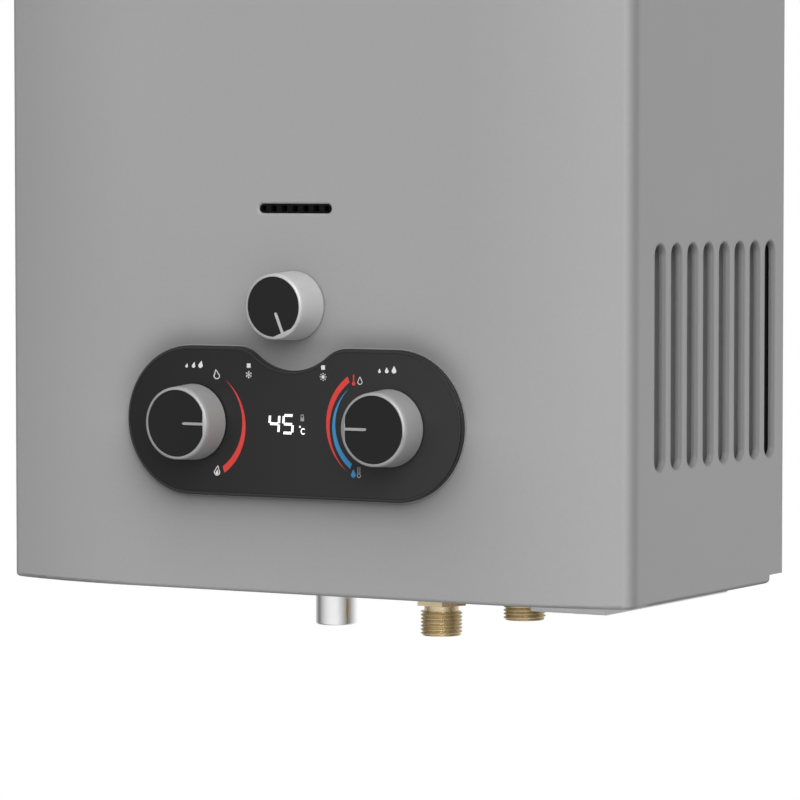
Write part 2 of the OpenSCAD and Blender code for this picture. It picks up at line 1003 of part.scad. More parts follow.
function turn_at(p, i) = acos(unit(p[i] - p[i - 1]) * unit(p[i + 1] - p[i]));
function setback(p, i, b) = i == 0 || i == len(p) - 1 ? 0 : b * tan(turn_at(p, i) / 2);

// A round bar bent at each inner point of a route.
module bent_bar(p, r, b) {
    last = len(p) - 1;
    for (i = [0 : last - 1]) {
        d = unit(p[i + 1] - p[i]);
        bar(p[i] + d * setback(p, i, b), p[i + 1] - d * setback(p, i + 1, b), r);
    }
    for (i = [1 : last - 1]) {
        d1 = unit(p[i] - p[i - 1]);
        d2 = unit(p[i + 1] - p[i]);
        n = unit(d2 - (d2 * d1) * d1);
        a = cross(-n, d1);
        c = p[i] - d1 * setback(p, i, b) + n * b;
        multmatrix([
            [-n[0], d1[0], a[0], c[0]],
            [-n[1], d1[1], a[1], c[1]],
            [-n[2], d1[2], a[2], c[2]],
            [0, 0, 0, 1]])
            rotate_extrude(angle = turn_at(p, i))
                translate([b, 0])
                    circle(r);
    }
}

// The same route with its two ends drawn out a little, for a bore.
function drawn_out(p, e) = [for (i = [0 : len(p) - 1])
    i == 0 ? p[0] - e * unit(p[1] - p[0])
    : i == len(p) - 1 ? p[i] + e * unit(p[i] - p[i - 1])
    : p[i]];

module bent_tube(p, r, bore, b) {
    difference() {
        bent_bar(p, r, b);
        bent_bar(drawn_out(p, 0.5), bore, b);
    }
}

// A connection that points down: z runs up from its lower end.
module hexagon(af, h) {
    cylinder(r = af / sqrt(3), h = h, $fn = 6);
}

module bored(top) {
    difference() {
        children();
        translate([0, 0, -1])
            cylinder(r = conn_bore_r, h = top + 2);
    }
}

module threaded_end() {
    cylinder(r1 = thread_r - 1, r2 = thread_r, h = 1);
    translate([0, 0, 1])
        cylinder(r = thread_r, h = thread_l - 1);
}

module gas_inlet() {
    neck_l = 3.2;
    hex_z = thread_l + neck_l;
    color(brass)
    above_base()
    translate([gas_x, -conn_y, -gas_drop])
        bored(gas_drop + conn_top)
            union() {
                threaded_end();
                translate([0, 0, thread_l])
                    cylinder(r = neck_r, h = gas_drop + conn_top - thread_l);
                translate([0, 0, hex_z])
                    hexagon(hex_af, gas_drop + tray_z - seat - hex_z);
            }
}

module cold_inlet() {
    color(brass)
    above_base()
    translate([cold_x, -conn_y, -cold_drop])
        bored(cold_drop + conn_top)
            union() {
                threaded_end();
                translate([0, 0, thread_l])
                    cylinder(r = neck_r, h = cold_drop + conn_top - thread_l);
                translate([0, 0, cold_drop + tray_top + seat])
                    hexagon(hex_af + 3, 9);
            }
}

module hot_outlet() {
    lip = 1.2;
    flange_z = hot_drop - 1;
    color([0.85, 0.85, 0.87])
    above_base()
    translate([hot_x, -conn_y, -hot_drop])
        bored(hot_drop + conn_top)
            union() {
                rotate_extrude()
                    union() {
                        square([hot_r - lip, lip]);
                        translate([hot_r - lip, lip])
                            circle(lip);
                        translate([0, lip])
                            square([hot_r, flange_z - lip]);
                    }
                translate([0, 0, flange_z])
                    cylinder(r = 13.5, h = 1 + tray_z - seat);
                translate([0, 0, flange_z])
                    cylinder(r = neck_r, h = conn_top + 1);
            }
}

nut_h = 12;

// The union nuts at the tops of the three connections.
module pipe_nuts() {
    color(brass)
    above_base()
    for (x = [hot_x, gas_x, cold_x])
        translate([x, -conn_y, conn_top - nut_h + 2])
            difference() {
                hexagon(hex_af + 1, nut_h);
                translate([0, 0, -1])
                    cylinder(r = neck_r + 0.1, h = nut_h + 2);
            }
}

gas_in_x = -20;
pipe_start = conn_top + seat;
riser_x = -30;

module gas_pipe() {
    color(steel)
    above_base()
    bent_tube([
        [gas_x, -conn_y, pipe_start],
        [gas_x, -conn_y, knob_z],
        [gas_in_x, -conn_y, knob_z],
        [gas_in_x, -valve_y + 22 + seat, knob_z]], 8, 6.6, bend);
}

module gas_valve() {
    x0 = -80;
    x1 = 0;
    color([0.66, 0.67, 0.69])
    above_base()
    difference() {
        union() {
            on_valve_axis(x0)
                cylinder(r = gas_valve_r, h = x1 - x0);
            for (x = [x0, x1 - 6])
                translate([x, -valve_y - gas_valve_r - 2, knob_z - gas_valve_r - 0.5])
                    cube([6, 2 * gas_valve_r + 4, 2 * gas_valve_r + 1]);
            facing_front(-knob_x, -valve_y, knob_z)
                cylinder(r = 12, h = -valve_y - boss_y);
            translate([gas_in_x, -valve_y, knob_z])
                rotate([-90, 0, 0])
                    cylinder(r = 11, h = 22);
            translate([riser_x - 12, manifold_y - 10, knob_z])
                cube([24, 36, gas_valve_r + 5]);
            translate([riser_x, manifold_y, knob_z])
                cylinder(r = 7, h = riser_top - seat - knob_z);
        }
        facing_front(-knob_x, boss_y + spindle_depth, knob_z)
            cylinder(r = spindle_r + run, h = spindle_depth + 1);
        on_valve_axis(x1 - 16)
            cylinder(r = rod_r + run, h = 17);
    }
}

module solenoid_valve() {
    x1 = -80 - seat;
    color([0.25, 0.3, 0.42])
    above_base()
    translate([x1, -valve_y, knob_z])
        rotate([0, -90, 0]) {
            cylinder(r = 15, h = 3);
            cylinder(r = 13, h = 28);
            translate([0, 0, 28])
                cylinder(r1 = 13, r2 = 10, h = 3);
            for (s = [-1, 1])
                translate([-1, s * 5 - 2, 31])
                    cube([1, 4, 6]);
        }
}

module valve_bracket() {
    z0 = tray_top + seat;
    leg = 1.5;
    y0 = -valve_y - 15;
    color(zinc)
    above_base()
    difference() {
        union() {
            translate([-62, y0, z0])
                cube([136, 30, leg]);
            translate([-62, y0, z0])
                cube([leg, 30, knob_z - gas_valve_r - seat - z0]);
            translate([-62, y0, knob_z - gas_valve_r - seat - leg])
                cube([12, 30, leg]);
            translate([74 - leg, y0, z0])
                cube([leg, 30, knob_z - water_valve_r - seat - z0]);
            translate([63, y0, knob_z - water_valve_r - seat - leg])
                cube([11, 30, leg]);
        }
        translate([knob_x, -valve_y, z0 - 1])
            cylinder(r = drain_wing + 1, h = leg + 2);
    }
}

module gas_manifold() {
    half = burner_pitch * (burner_count - 1) / 2 + 12;
    color(brass)
    above_base()
    difference() {
        union() {
            translate([-half, manifold_y, mixer_z])
                rotate([0, 90, 0])
                    cylinder(r = manifold_r, h = 2 * half);
            for (i = [0 : burner_count - 1])
                translate([burner_at(i), manifold_y, mixer_z])
                    rotate([-90, 0, 0]) {
                        cylinder(r = 4, h = manifold_r + 1.5);
                        cylinder(r = 2.2, h = manifold_r + 4);
                    }
            translate([riser_x, manifold_y, riser_top])
                cylinder(r = 9, h = manifold_r);
            for (s = [-1, 1])
                translate([s * (half - 4) - 4, manifold_y - 1, mixer_z + manifold_r - 3])
                    cube([8, 2, 14]);
            for (s = [-1, 1])
                translate([s * (half - 4) - 4, manifold_y - 1, mixer_z + manifold_r + 9])
                    cube([8, manifold_gap + 1 - seat, 2]);
        }
        translate([-half + 2, manifold_y, mixer_z])
            rotate([0, 90, 0])
                cylinder(r = manifold_r - 1.5, h = 2 * half - 4);
        for (i = [0 : burner_count - 1])
            translate([burner_at(i), manifold_y, mixer_z])
                rotate([-90, 0, 0])
                    cylinder(r = 0.6, h = manifold_r + 5);
    }
}

function burner_at(i) = (i - (burner_count - 1) / 2) * burner_pitch;

module season_valve() {
    depth = season_back - season_front;
    body_z = manifold_top + seat;
    color([0.66, 0.67, 0.69])
    above_base()
    difference() {
        union() {
            translate([-15, season_front + 8, body_z])
                cube([30, depth - 8, season_z + 12 - body_z]);
            facing_front(0, season_front + 9, season_z)
                cylinder(r = 9, h = 9);
            for (s = [-1, 1])
                facing_front(s * 11.5, season_front + 9, season_z + 8.5)
                    cylinder(r = 2.2, h = 2.5);
        }
        facing_front(0, season_front + spindle_depth, season_z)
            cylinder(r = spindle_r + run, h = spindle_depth + 1);
    }
}

// Each burner bar has a head with gas slots, a thin neck and a mixing tube with its mouth to the front.
module burner_bars() {
    length = chamber_d - 2 * chamber_wall - 2 * seat;
    head_top = burner_h - mixer_r;
    head_z = head_top - 14;
    slots = 4;
    slot_pitch = (length - 6) / slots;
    color(steel)
    above_base()
    for (i = [0 : burner_count - 1])
        translate([burner_at(i), duct_y, mixer_z])
            difference() {
                rotate([90, 0, 0])
                    linear_extrude(length, center = true) {
                        circle(mixer_r);
                        translate([-1.5, 0])
                            square([3, head_z + 2]);
                        polygon([
                            [-1.5, head_z - 4],
                            [1.5, head_z - 4],
                            [burner_w / 2, head_z],
                            [burner_w / 2, head_top],
                            [-burner_w / 2, head_top],
                            [-burner_w / 2, head_z]]);
                    }
                translate([0, -length / 2 - 1, 0])
                    rotate([-90, 0, 0])
                        cylinder(r = mixer_r - 1, h = length - 12);
                for (k = [0 : slots - 1])
                    translate([-burner_w / 2 + 1.5, (k - slots / 2) * slot_pitch + 1, head_top - 6])
                        cube([burner_w - 3, slot_pitch - 2, 7]);
            }
}

module burner_frame() {
    low = 40;
    color(zinc)
    above_base()
    chamber_ring(frame_top - low, low);
}

module feed_pipe() {
    color(copper)
    above_base()
    bent_tube([
        [cold_x, -conn_y, pipe_start],
        [cold_x, -conn_y, knob_z],
        [cold_x, -valve_y + water_valve_r + seat, knob_z]], 8, 6.6, bend);
}

water_x1 = 90;
disc_x = 24;

module water_valve() {
    color(brass)
    above_base()
    difference() {
        union() {
            on_valve_axis(disc_x)
                cylinder(r = diaphragm_r, h = 7);
            on_valve_axis(disc_x + 7) {
                cylinder(r1 = diaphragm_r - 4, r2 = water_valve_r, h = 6);
                cylinder(r = water_valve_r, h = water_x1 - disc_x - 7);
            }
            facing_front(knob_x, -valve_y, knob_z)
                cylinder(r = 11, h = -valve_y - boss_y);
            translate([cold_x, -valve_y, knob_z])
                rotate([-90, 0, 0])
                    cylinder(r = 11, h = water_valve_r);
            translate([knob_x, -valve_y, knob_z - water_valve_r - 3])
                cylinder(r = 7, h = water_valve_r);
        }
        facing_front(knob_x, boss_y + spindle_depth, knob_z)
            cylinder(r = spindle_r + run, h = spindle_depth + 1);
        translate([knob_x, -valve_y, knob_z - water_valve_r - 4])
            cylinder(r = 4 + run, h = 10);
        on_valve_axis(disc_x - 1)
            at_screws()
                cylinder(r = 1.6, h = 7);
    }
}

module at_screws() {
    for (i = [0 : 5])
        rotate(i * 60)
            translate([diaphragm_r - 4, 0, 0])
                children();
}

module diaphragm_cover() {
    t = 6;
    color(brass)
    above_base()
    translate([disc_x - seat, -valve_y, knob_z])
        rotate([0, -90, 0])
            difference() {
                union() {
                    cylinder(r = diaphragm_r, h = t);
                    translate([0, 0, t])
                        cylinder(r1 = 16, r2 = 10, h = 4);
                }
                translate([0, 0, -1])
                    cylinder(r = rod_r + run, h = t + 6);
                at_screws()
                    translate([0, 0, -1])
                        cylinder(r = 1.6, h = t + 2);
            }
}

module valve_screws() {
    color(steel)
    above_base()
    on_valve_axis(disc_x - seat - 6)
        at_screws() {
            cylinder(r = 1.5, h = 11);
            translate([0, 0, -2])
                cylinder(r = 2.8, h = 2);
        }
}

rod_disc_x = 9;
lever_x = rod_disc_x - seat;
pivot_z = knob_z + 24.3;

module push_rod() {
    x0 = rod_travel - 14;
    color(steel)
    above_base() {
        on_valve_axis(x0)
            cylinder(r = rod_r, h = disc_x - 1 - x0);
        on_valve_axis(rod_disc_x)
            cylinder(r = 8, h = 2);
    }
}

module flow_switch() {
    slot_x = lever_x - 6;
    foot_z = knob_z + gas_valve_r + 0.5 + seat;
    color(black)
    above_base()
    difference() {
        union() {
            translate([-14, -valve_y - 4, pivot_z - 2.3])
                cube([26, 8, 10.5]);
            translate([-14, -valve_y - 4, foot_z])
                cube([12, 8, pivot_z - 2.2 - foot_z]);
        }
        translate([slot_x, -valve_y - 2.7 - seat, pivot_z - 3])
            cube([9, 5.4 + 2 * seat, 6]);
        facing_front(lever_x - 0.2, -valve_y + 5, pivot_z)
            cylinder(r = 0.6 + run, h = 10);
    }
}

module switch_lever() {
    color(steel)
    above_base() {
        translate([lever_x - 0.4, -valve_y - 2.5, knob_z + 5])
            cube([0.4, 5, pivot_z - knob_z - 5]);
        facing_front(lever_x - 0.2, -valve_y + 2.7, pivot_z)
            cylinder(r = 1.2, h = 5.4);
        facing_front(lever_x - 0.2, -valve_y + 3.9, pivot_z)
            cylinder(r = 0.6, h = 7.8);
    }
}

module drain_plug() {
    color(ivory)
    above_base()
    translate([knob_x, -valve_y, 0]) {
        translate([0, 0, -4])
            cylinder(r = 3.5, h = 12);
        translate([-drain_wing, -1.5, -4])
            cube([2 * drain_wing, 3, 6]);
        cylinder(r = 5, h = knob_z - water_valve_r - 3 - seat);
        cylinder(r = 4, h = knob_z - water_valve_r + 5);
    }
}

module cold_pipe() {
    color(copper)
    above_base()
    bent_tube([
        [water_x1 + seat, -valve_y, knob_z],
        [coil_x, -valve_y, knob_z],
        [coil_x, -valve_y, chamber_z + coil_z],
        [coil_x, -valve_y + 20, chamber_z + coil_z]], tube_r, tube_bore_r, bend);
}

link_y = fin_tube_y[0];
coil_z0 = chamber_z + coil_z;
coil_z1 = coil_z0 + coil_pitch;
coil_z2 = coil_z1 + coil_pitch;

// The coil goes round the chamber twice, steps up at the front left corner and rises to the fin tubes.
coil_route = [
    [coil_x, -valve_y + 20 + seat, coil_z0],
    [coil_x, coil_y1, coil_z0],
    [-coil_x, coil_y1, coil_z0],
    [-coil_x, coil_y0, coil_z0],
    [-coil_x, coil_y0, coil_z1],
    [coil_x, coil_y0, coil_z1],
    [coil_x, coil_y1, coil_z1],
    [-coil_x, coil_y1, coil_z1],
    [-coil_x, coil_y0, coil_z1],
    [-coil_x, coil_y0, coil_z2],
    [coil_x, coil_y0, coil_z2],
    [coil_x, link_y, coil_z2],
    [link_x, link_y, coil_z2],
    [link_x, link_y, fin_z],
    [fin_end + seat, link_y, fin_z]];

module water_coil() {
    color(copper)
    above_base()
    bent_bar(coil_route, tube_r, coil_bend);
}

// The chamber's outline, a set distance inside its outer face. The coil bends round its corners.
module chamber_outline(inset) {
    r = coil_bend - tube_gap - inset;
    x = chamber_w / 2 - inset;
    y = chamber_d / 2 - inset;
    square([2 * x, 2 * (y - r)], center = true);
    square([2 * (x - r), 2 * y], center = true);
    for (i = [-1, 1])
        for (k = [-1, 1])
            translate([i * (x - r), k * (y - r)])
                circle(r);
}

// An open length of chamber wall, h high.
module chamber_ring(z, h) {
    translate([0, duct_y, z])
        linear_extrude(h)
            difference() {
                chamber_outline(0);
                chamber_outline(chamber_wall);
            }
}

module combustion_chamber() {
    wall = chamber_wall;
    color(copper)
    above_base()
    difference() {
        chamber_ring(chamber_z, chamber_h);
        for (y = fin_tube_y)
            translate([-chamber_w / 2 - 1, y, fin_z])
                rotate([0, 90, 0])
                    cylinder(r = tube_r + 0.1, h = chamber_w + 2);
        facing_front(0, chamber_front + wall + 1, window_z)
            linear_extrude(wall + 2)
                slot_outline(54, 8);
    }
}

module chamber_brackets() {
    color(zinc)
    above_base()
    for (x = [-80, 80])
        for (z = [chamber_z + 6, chamber_z + chamber_h * 0.65])
            difference() {
                translate([x - 10, chamber_back + seat, z])
                    cube([20, chamber_gap - plate_t - 2 * seat, 12]);
                translate([x - 11, chamber_back + seat + plate_t, z + plate_t])
                    cube([22, chamber_gap - 3 * plate_t - 2 * seat, 12]);
            }
}

module fin_stack() {
    depth = chamber_d - 2 * chamber_wall - 2 * seat;
    color(copper)
    above_base()
    for (i = [0 : fin_count - 1])
        translate([(i - (fin_count - 1) / 2) * fin_pitch - fin_t / 2, duct_y, fin_z])
            rotate([90, 0, 90])
                linear_extrude(fin_t)
                    difference() {
                        square([depth, fin_h], center = true);
                        for (y = fin_tube_y)
                            translate([y - duct_y, 0])
                                circle(tube_r + 0.1);
                    }
}

module fin_tubes() {
    color(copper)
    above_base() {
        for (y = fin_tube_y)
            translate([-fin_end, y, fin_z])
                rotate([0, 90, 0])
                    cylinder(r = tube_r, h = 2 * fin_end);
        for (i = [0 : 3])
            translate([(i % 2 == 0 ? -1 : 1) * fin_end, (fin_tube_y[i] + fin_tube_y[i + 1]) / 2, fin_z])
                rotate(i % 2 == 0 ? 90 : -90)
                    rotate_extrude(angle = 180)
                        translate([fin_tube_pitch / 2, 0])
                            circle(tube_r);
    }
}

hot_down_x = -fin_end - 20;
hot_low_z = 45;

module hot_pipe() {
    color(copper)
    above_base()
    bent_tube([
        [-fin_end - seat, fin_tube_y[4], fin_z],
        [hot_down_x, fin_tube_y[4], fin_z],
        [hot_down_x, fin_tube_y[4], hot_low_z],
        [hot_down_x, -conn_y, hot_low_z],
        [hot_x, -conn_y, hot_low_z],
        [hot_x, -conn_y, pipe_start]], tube_r, tube_bore_r, 10);
}

module temperature_sensor() {
    color(brass)
    above_base()
    translate([(hot_down_x + hot_x) / 2, -conn_y, hot_low_z]) {
        rotate([0, 90, 0])
            difference() {
                cylinder(r = tube_r + 2, h = 8, center = true);
                cylinder(r = tube_r + 0.1, h = 10, center = true);
            }
        translate([0, 0, tube_r + 1])
            cylinder(r = 3, h = 10);
    }
}

module overheat_cutout() {
    color(black)
    above_base()
    translate([-chamber_w / 2 - seat, duct_y, chamber_z + chamber_h * 0.62])
        rotate([0, -90, 0]) {
            translate([-6, -14, 0])
                cube([12, 28, 1]);
            cylinder(r = 8, h = 6);
        }
}

hood_h = case_h - flue_reach - 12 - seat - chamber_top;

module exhaust_hood() {
    wall = chamber_wall;
    z0 = chamber_top + seat;
    color(steel)
    above_base()
    difference() {
        union() {
            hull() {
                translate([-chamber_w / 2, chamber_front, z0])
                    cube([chamber_w, chamber_d, 12]);
                translate([0, duct_y, z0 + hood_h])
                    cylinder(r = flue_r, h = 1);
            }
            translate([0, duct_y, z0 + hood_h])
                cylinder(r = flue_r, h = 12);
        }
        hull() {
            translate([-chamber_w / 2 + wall, chamber_front + wall, z0 - 1])
                cube([chamber_w - 2 * wall, chamber_d - 2 * wall, 12]);
            translate([0, duct_y, z0 + hood_h - wall])
                cylinder(r = flue_r - wall, h = 1);
        }
        translate([0, duct_y, z0 + hood_h - 1])
            cylinder(r = flue_r - wall, h = 14);
    }
}

module flue_collar() {
    spigot_r = flue_r - chamber_wall - seat;
    flange_z = roof_top + seat;
    spigot_z = chamber_top + seat + hood_h + 3;
    color(steel)
    above_base()
    translate([0, duct_y, 0])
        difference() {
            union() {
                translate([0, 0, spigot_z])
                    cylinder(r = spigot_r, h = flange_z - spigot_z + 1);
                translate([0, 0, flange_z])
                    cylinder(r = flue_r + 9, h = 1);
                translate([0, 0, flange_z])
                    cylinder(r = flue_r, h = case_h + flue_h - flange_z);
            }
            translate([0, 0, spigot_z - 1])
                cylinder(r = spigot_r - flue_wall, h = case_h + flue_h);
        }
}

module control_box() {
    back_y = -plate_t - seat;
    color(black)
    above_base() {
        translate([control_box_x, back_y - control_base_t, control_box_z])
            cube([control_box_w, control_base_t, control_box_h]);
        translate([control_box_x + lid_edge, control_box_y, control_box_z + lid_edge])
            cube([control_box_w - 2 * lid_edge, back_y - control_box_y - 1, control_box_h - 2 * lid_edge]);
    }
}

electrode_x = 18;
electrode_y = chamber_front - 5;

module ignition_electrodes() {
    color([0.92, 0.92, 0.9])
    above_base() {
        translate([-electrode_x - 6, chamber_front - seat - 1.2, frame_top - 30])
            cube([2 * electrode_x + 12, 1.2, 26]);
        for (s = [-1, 1]) {
            translate([s * electrode_x - 4.5, electrode_y - 4, frame_top - 16])
                cube([9, 8, 6]);
            translate([s * electrode_x, electrode_y, frame_top - 22])
                cylinder(r = 3, h = 20);
            bent_bar([
                [s * electrode_x, electrode_y, frame_top - 4],
                [s * electrode_x, electrode_y, window_z],
                [s * electrode_x, electrode_y + 22, window_z]], 0.9, 3);
        }
    }
}

lead_top = frame_top - 22 - seat;
lead_end = control_box_y - seat;
lead_x = control_box_x + control_box_w / 2;

module wiring() {
    lead_r = 1.6;
    color(black)
    above_base() {
        bent_bar([
            [electrode_x, electrode_y, lead_top],
            [electrode_x, electrode_y, lead_top - 11],
            [lead_x - 8, electrode_y, lead_top - 11],
            [lead_x - 8, lead_end, lead_top - 11]], lead_r, 6);
        bent_bar([
            [-electrode_x, electrode_y, lead_top],
            [-electrode_x, electrode_y, lead_top - 19],
            [lead_x + 2, electrode_y, lead_top - 19],
            [lead_x + 2, lead_end, lead_top - 19]], lead_r, 6);
        bent_bar([
            [24, front_y + 8 + seat, 74],
            [24, front_y + 15, 74],
            [lead_x + 6, front_y + 15, 74],
            [lead_x + 6, lead_end, 74]], lead_r, 6);
        bar([cell_x, -20, box_top + seat], [cell_x, -20, control_box_z + lid_edge - seat], lead_r);
    }
}

module battery_box() {
    color([0.78, 0.78, 0.77])
    above_base()
    difference() {
        union() {
            translate([box_x, box_y0, door_z + door_t + seat])
                cube([box_w, box_l, box_top - door_z - door_t - seat]);
            for (x = hinge_ears)
                facing_side(x, hinge_y, 0)
                    linear_extrude(ear_w) {
                        translate([0, hinge_z])
                            circle(hinge_r);
                        translate([-hinge_r, hinge_z])
                            square([2 * hinge_r, back_z0 - seat - hinge_z]);
                        translate([-4, door_z + door_t + seat])
                            square([4, back_z0 - door_z - door_t - 2 * seat]);
                    }
        }
        translate([box_x + box_wall, box_y0 + box_wall, door_z - 1])
            cube([box_w - 2 * box_wall, box_l - 2 * box_wall, box_top - box_wall - door_z + 1]);
        facing_side(box_x, hinge_y, hinge_z)
            cylinder(r = hinge_pin_r + run, h = box_w);
    }
}

ear_w = 4;
hinge_ears = [box_x + 6, box_x1 - 6 - ear_w];

// Stands a drawing in x and y upright, so that x runs to the wall, y up and the depth to the right.
module facing_side(x, y, z) {
    translate([x, y, z])
        rotate([90, 0, 90])
            children();
}

module battery_door() {
    knuckle_x = hinge_ears[0] + ear_w + seat;
    knuckle_w = hinge_ears[1] - hinge_ears[0] - ear_w - 2 * seat;
    chamfer = 1.2;
    color([0.8, 0.8, 0.79])
    above_base() {
        facing_side(box_x, 0, 0)
            linear_extrude(box_w)
                polygon([
                    [box_y0 + chamfer, door_z],
                    [box_y1 - chamfer, door_z],
                    [box_y1, door_z + chamfer],
                    [box_y1, door_z + door_t],
                    [box_y0, door_z + door_t],
                    [box_y0, door_z + chamfer]]);
        facing_side(knuckle_x, hinge_y, hinge_z)
            linear_extrude(knuckle_w) {
                circle(hinge_r);
                translate([-4, -hinge_r])
                    square([4, door_z + door_t - hinge_z + hinge_r]);
            }
        facing_side(hinge_ears[0], hinge_y, hinge_z)
            cylinder(r = hinge_pin_r, h = hinge_ears[1] - hinge_ears[0] + ear_w);
        translate([box_x + box_w / 2 - 6, box_y0 + box_wall + 0.5, door_z + door_t - eps])
            cube([12, 1.4, 4]);
    }
}

cell_x = box_x + box_w / 2;
cell_y = [for (i = [0 : 1]) box_y0 + box_wall + 4 + i * (cell_l + 2)];

module batteries() {
    color([0.25, 0.35, 0.3])
    above_base()
    for (y = cell_y)
        translate([cell_x, y + 1.5, cell_z])
            rotate([-90, 0, 0]) {
                cylinder(r = cell_r, h = cell_l);
                translate([0, 0, -1.5])
                    cylinder(r = 4.75, h = 1.6);
            }
}

module battery_contacts() {
    y_last = cell_y[1] + 1.5 + cell_l;
    color(steel)
    above_base() {
        translate([cell_x - 8, box_y0 + box_wall + seat, cell_z - 8])
            cube([16, 4 - 2 * seat, 16]);
        translate([cell_x, y_last + seat, cell_z])
            rotate([-90, 0, 0])
                cylinder(r1 = 5, r2 = 9, h = box_y1 - box_wall - y_last - 2 * seat);
    }
}

front_cover();
cover_screws();
back_plate();
top_panel();
bottom_panel();
side_baffle_left();
side_baffle_right();
viewing_grille();
viewing_glass();
control_panel();
panel_face();
display_module();
season_knob();
season_knob_inlay();
season_spindle();
temp_knob();
temp_knob_inlay();
temp_spindle();
water_knob();
water_knob_inlay();
water_spindle();
gas_inlet();
gas_pipe();
gas_valve();
solenoid_valve();
valve_bracket();
gas_manifold();
season_valve();
burner_bars();
burner_frame();
cold_inlet();
feed_pipe();
water_valve();
diaphragm_cover();
valve_screws();
push_rod();
flow_switch();
switch_lever();
drain_plug();
cold_pipe();
water_coil();
combustion_chamber();
chamber_brackets();
fin_stack();
fin_tubes();
hot_pipe();
hot_outlet();
pipe_nuts();
temperature_sensor();
overheat_cutout();
exhaust_hood();
flue_collar();
control_box();
ignition_electrodes();
wiring();
battery_box();
battery_door();
batteries();
battery_contacts();
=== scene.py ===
import json
import math

import bmesh
import bpy
from mathutils import Matrix, Vector


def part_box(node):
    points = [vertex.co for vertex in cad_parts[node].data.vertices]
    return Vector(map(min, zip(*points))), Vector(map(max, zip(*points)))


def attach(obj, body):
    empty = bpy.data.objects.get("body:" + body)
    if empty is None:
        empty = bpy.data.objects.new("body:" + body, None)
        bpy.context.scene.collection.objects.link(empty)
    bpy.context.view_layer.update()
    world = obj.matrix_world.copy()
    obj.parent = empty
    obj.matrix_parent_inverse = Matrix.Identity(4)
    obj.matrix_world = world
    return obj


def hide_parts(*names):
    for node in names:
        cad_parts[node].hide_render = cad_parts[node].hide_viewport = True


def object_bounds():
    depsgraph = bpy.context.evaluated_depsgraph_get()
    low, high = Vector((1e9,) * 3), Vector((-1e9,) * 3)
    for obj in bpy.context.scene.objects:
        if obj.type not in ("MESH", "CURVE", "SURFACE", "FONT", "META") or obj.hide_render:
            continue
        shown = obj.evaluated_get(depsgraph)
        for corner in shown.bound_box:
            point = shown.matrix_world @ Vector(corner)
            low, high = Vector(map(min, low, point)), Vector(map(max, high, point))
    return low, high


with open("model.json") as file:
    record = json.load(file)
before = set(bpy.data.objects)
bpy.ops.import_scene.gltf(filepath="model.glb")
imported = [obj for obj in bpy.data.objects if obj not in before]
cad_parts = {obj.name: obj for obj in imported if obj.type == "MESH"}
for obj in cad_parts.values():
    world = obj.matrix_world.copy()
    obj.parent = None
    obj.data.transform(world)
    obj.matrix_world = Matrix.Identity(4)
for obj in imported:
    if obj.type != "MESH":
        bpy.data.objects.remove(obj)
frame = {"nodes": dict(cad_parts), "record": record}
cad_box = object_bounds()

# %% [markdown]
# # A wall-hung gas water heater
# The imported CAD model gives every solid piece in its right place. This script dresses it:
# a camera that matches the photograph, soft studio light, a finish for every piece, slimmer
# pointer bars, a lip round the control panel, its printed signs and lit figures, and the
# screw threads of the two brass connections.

MM = 0.001
BASE_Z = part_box("front_cover")[0].z

size = cad_box[1] - cad_box[0]
print(f"CAD box {size.x:.3f} x {size.y:.3f} x {size.z:.3f} m, {len(frame['nodes'])} nodes")

# %% [markdown]
# ## Camera
# The photograph is taken from the front right and a little above with a long lens, so the
# upright edges stay almost parallel. Its place, direction and lens come from a fit to the
# casing's straight edges. A long lens far away is chosen over a wide one close by, because
# the side face would otherwise narrow too fast towards the wall.

# %% Camera
CAMERA_AT = (1.077306, -1.963799, -0.091145)
YAW, PITCH = math.radians(29.759), math.radians(3.006)
FOCAL_PIXELS, PHOTO_PIXELS, SENSOR_MM = 4310.67, 800, 36.0

aim = Vector(
    (-math.sin(YAW) * math.cos(PITCH), math.cos(YAW) * math.cos(PITCH), -math.sin(PITCH))
)
camera = bpy.data.objects.new("camera", bpy.data.cameras.new("camera"))
camera.data.sensor_width = SENSOR_MM
camera.data.lens = FOCAL_PIXELS * SENSOR_MM / PHOTO_PIXELS
camera.data.clip_end = 60
camera.location = CAMERA_AT
camera.rotation_mode = "QUATERNION"
camera.rotation_quaternion = aim.to_track_quat("-Z", "Y")
bpy.context.collection.objects.link(camera)
bpy.context.scene.camera = camera
print(f"camera {camera.data.lens:.1f} mm, {camera.location.length:.2f} m from the origin")

# %% [markdown]
# ## Surround
# A product picture of painted sheet metal needs soft light without hard shadows. The world
# gives most of it: a pale room that is brighter above than at the horizon. What metal
# mirrors is a second matter. Chrome in an all-white room looks like white plastic, so
# a studio stands dark boards at both sides, and here the room that glossy rays meet gets
# darker towards the left and the right. The camera itself sees plain white.

# %% Short ways to join nodes
scene = bpy.context.scene
scene.view_settings.view_transform = "Standard"


def join(tree, kind, *values, **settings):
    """A new node whose first inputs are values or links, and its first output."""
    node = tree.nodes.new(kind)
    for key, value in settings.items():
        setattr(node, key, value)
    for slot, value in zip(node.inputs, values):
        if isinstance(value, bpy.types.NodeSocket):
            tree.links.new(value, slot)
        elif value is not None:
            slot.default_value = value
    return node.outputs[0]


def math_node(tree, operation, *values):
    return join(tree, "ShaderNodeMath", *values, operation=operation)


def ranged(tree, value, low, high, to_low, to_high):
    """The value mapped from one range to another and kept inside it."""
    return join(tree, "ShaderNodeMapRange", value, low, high, to_low, to_high)


def blend_value(tree, factor, first, second):
    """first where the factor is 0 and second where it is 1."""
    return join(tree, "ShaderNodeMix", factor, None, first, second, data_type="FLOAT")


print(f"view transform {scene.view_settings.view_transform}, node helpers ready")

# %% What each kind of ray meets
BOARD_DARK, BOARD_TURN = 0.22, math.radians(8)
BOARD_FULL = 0.1


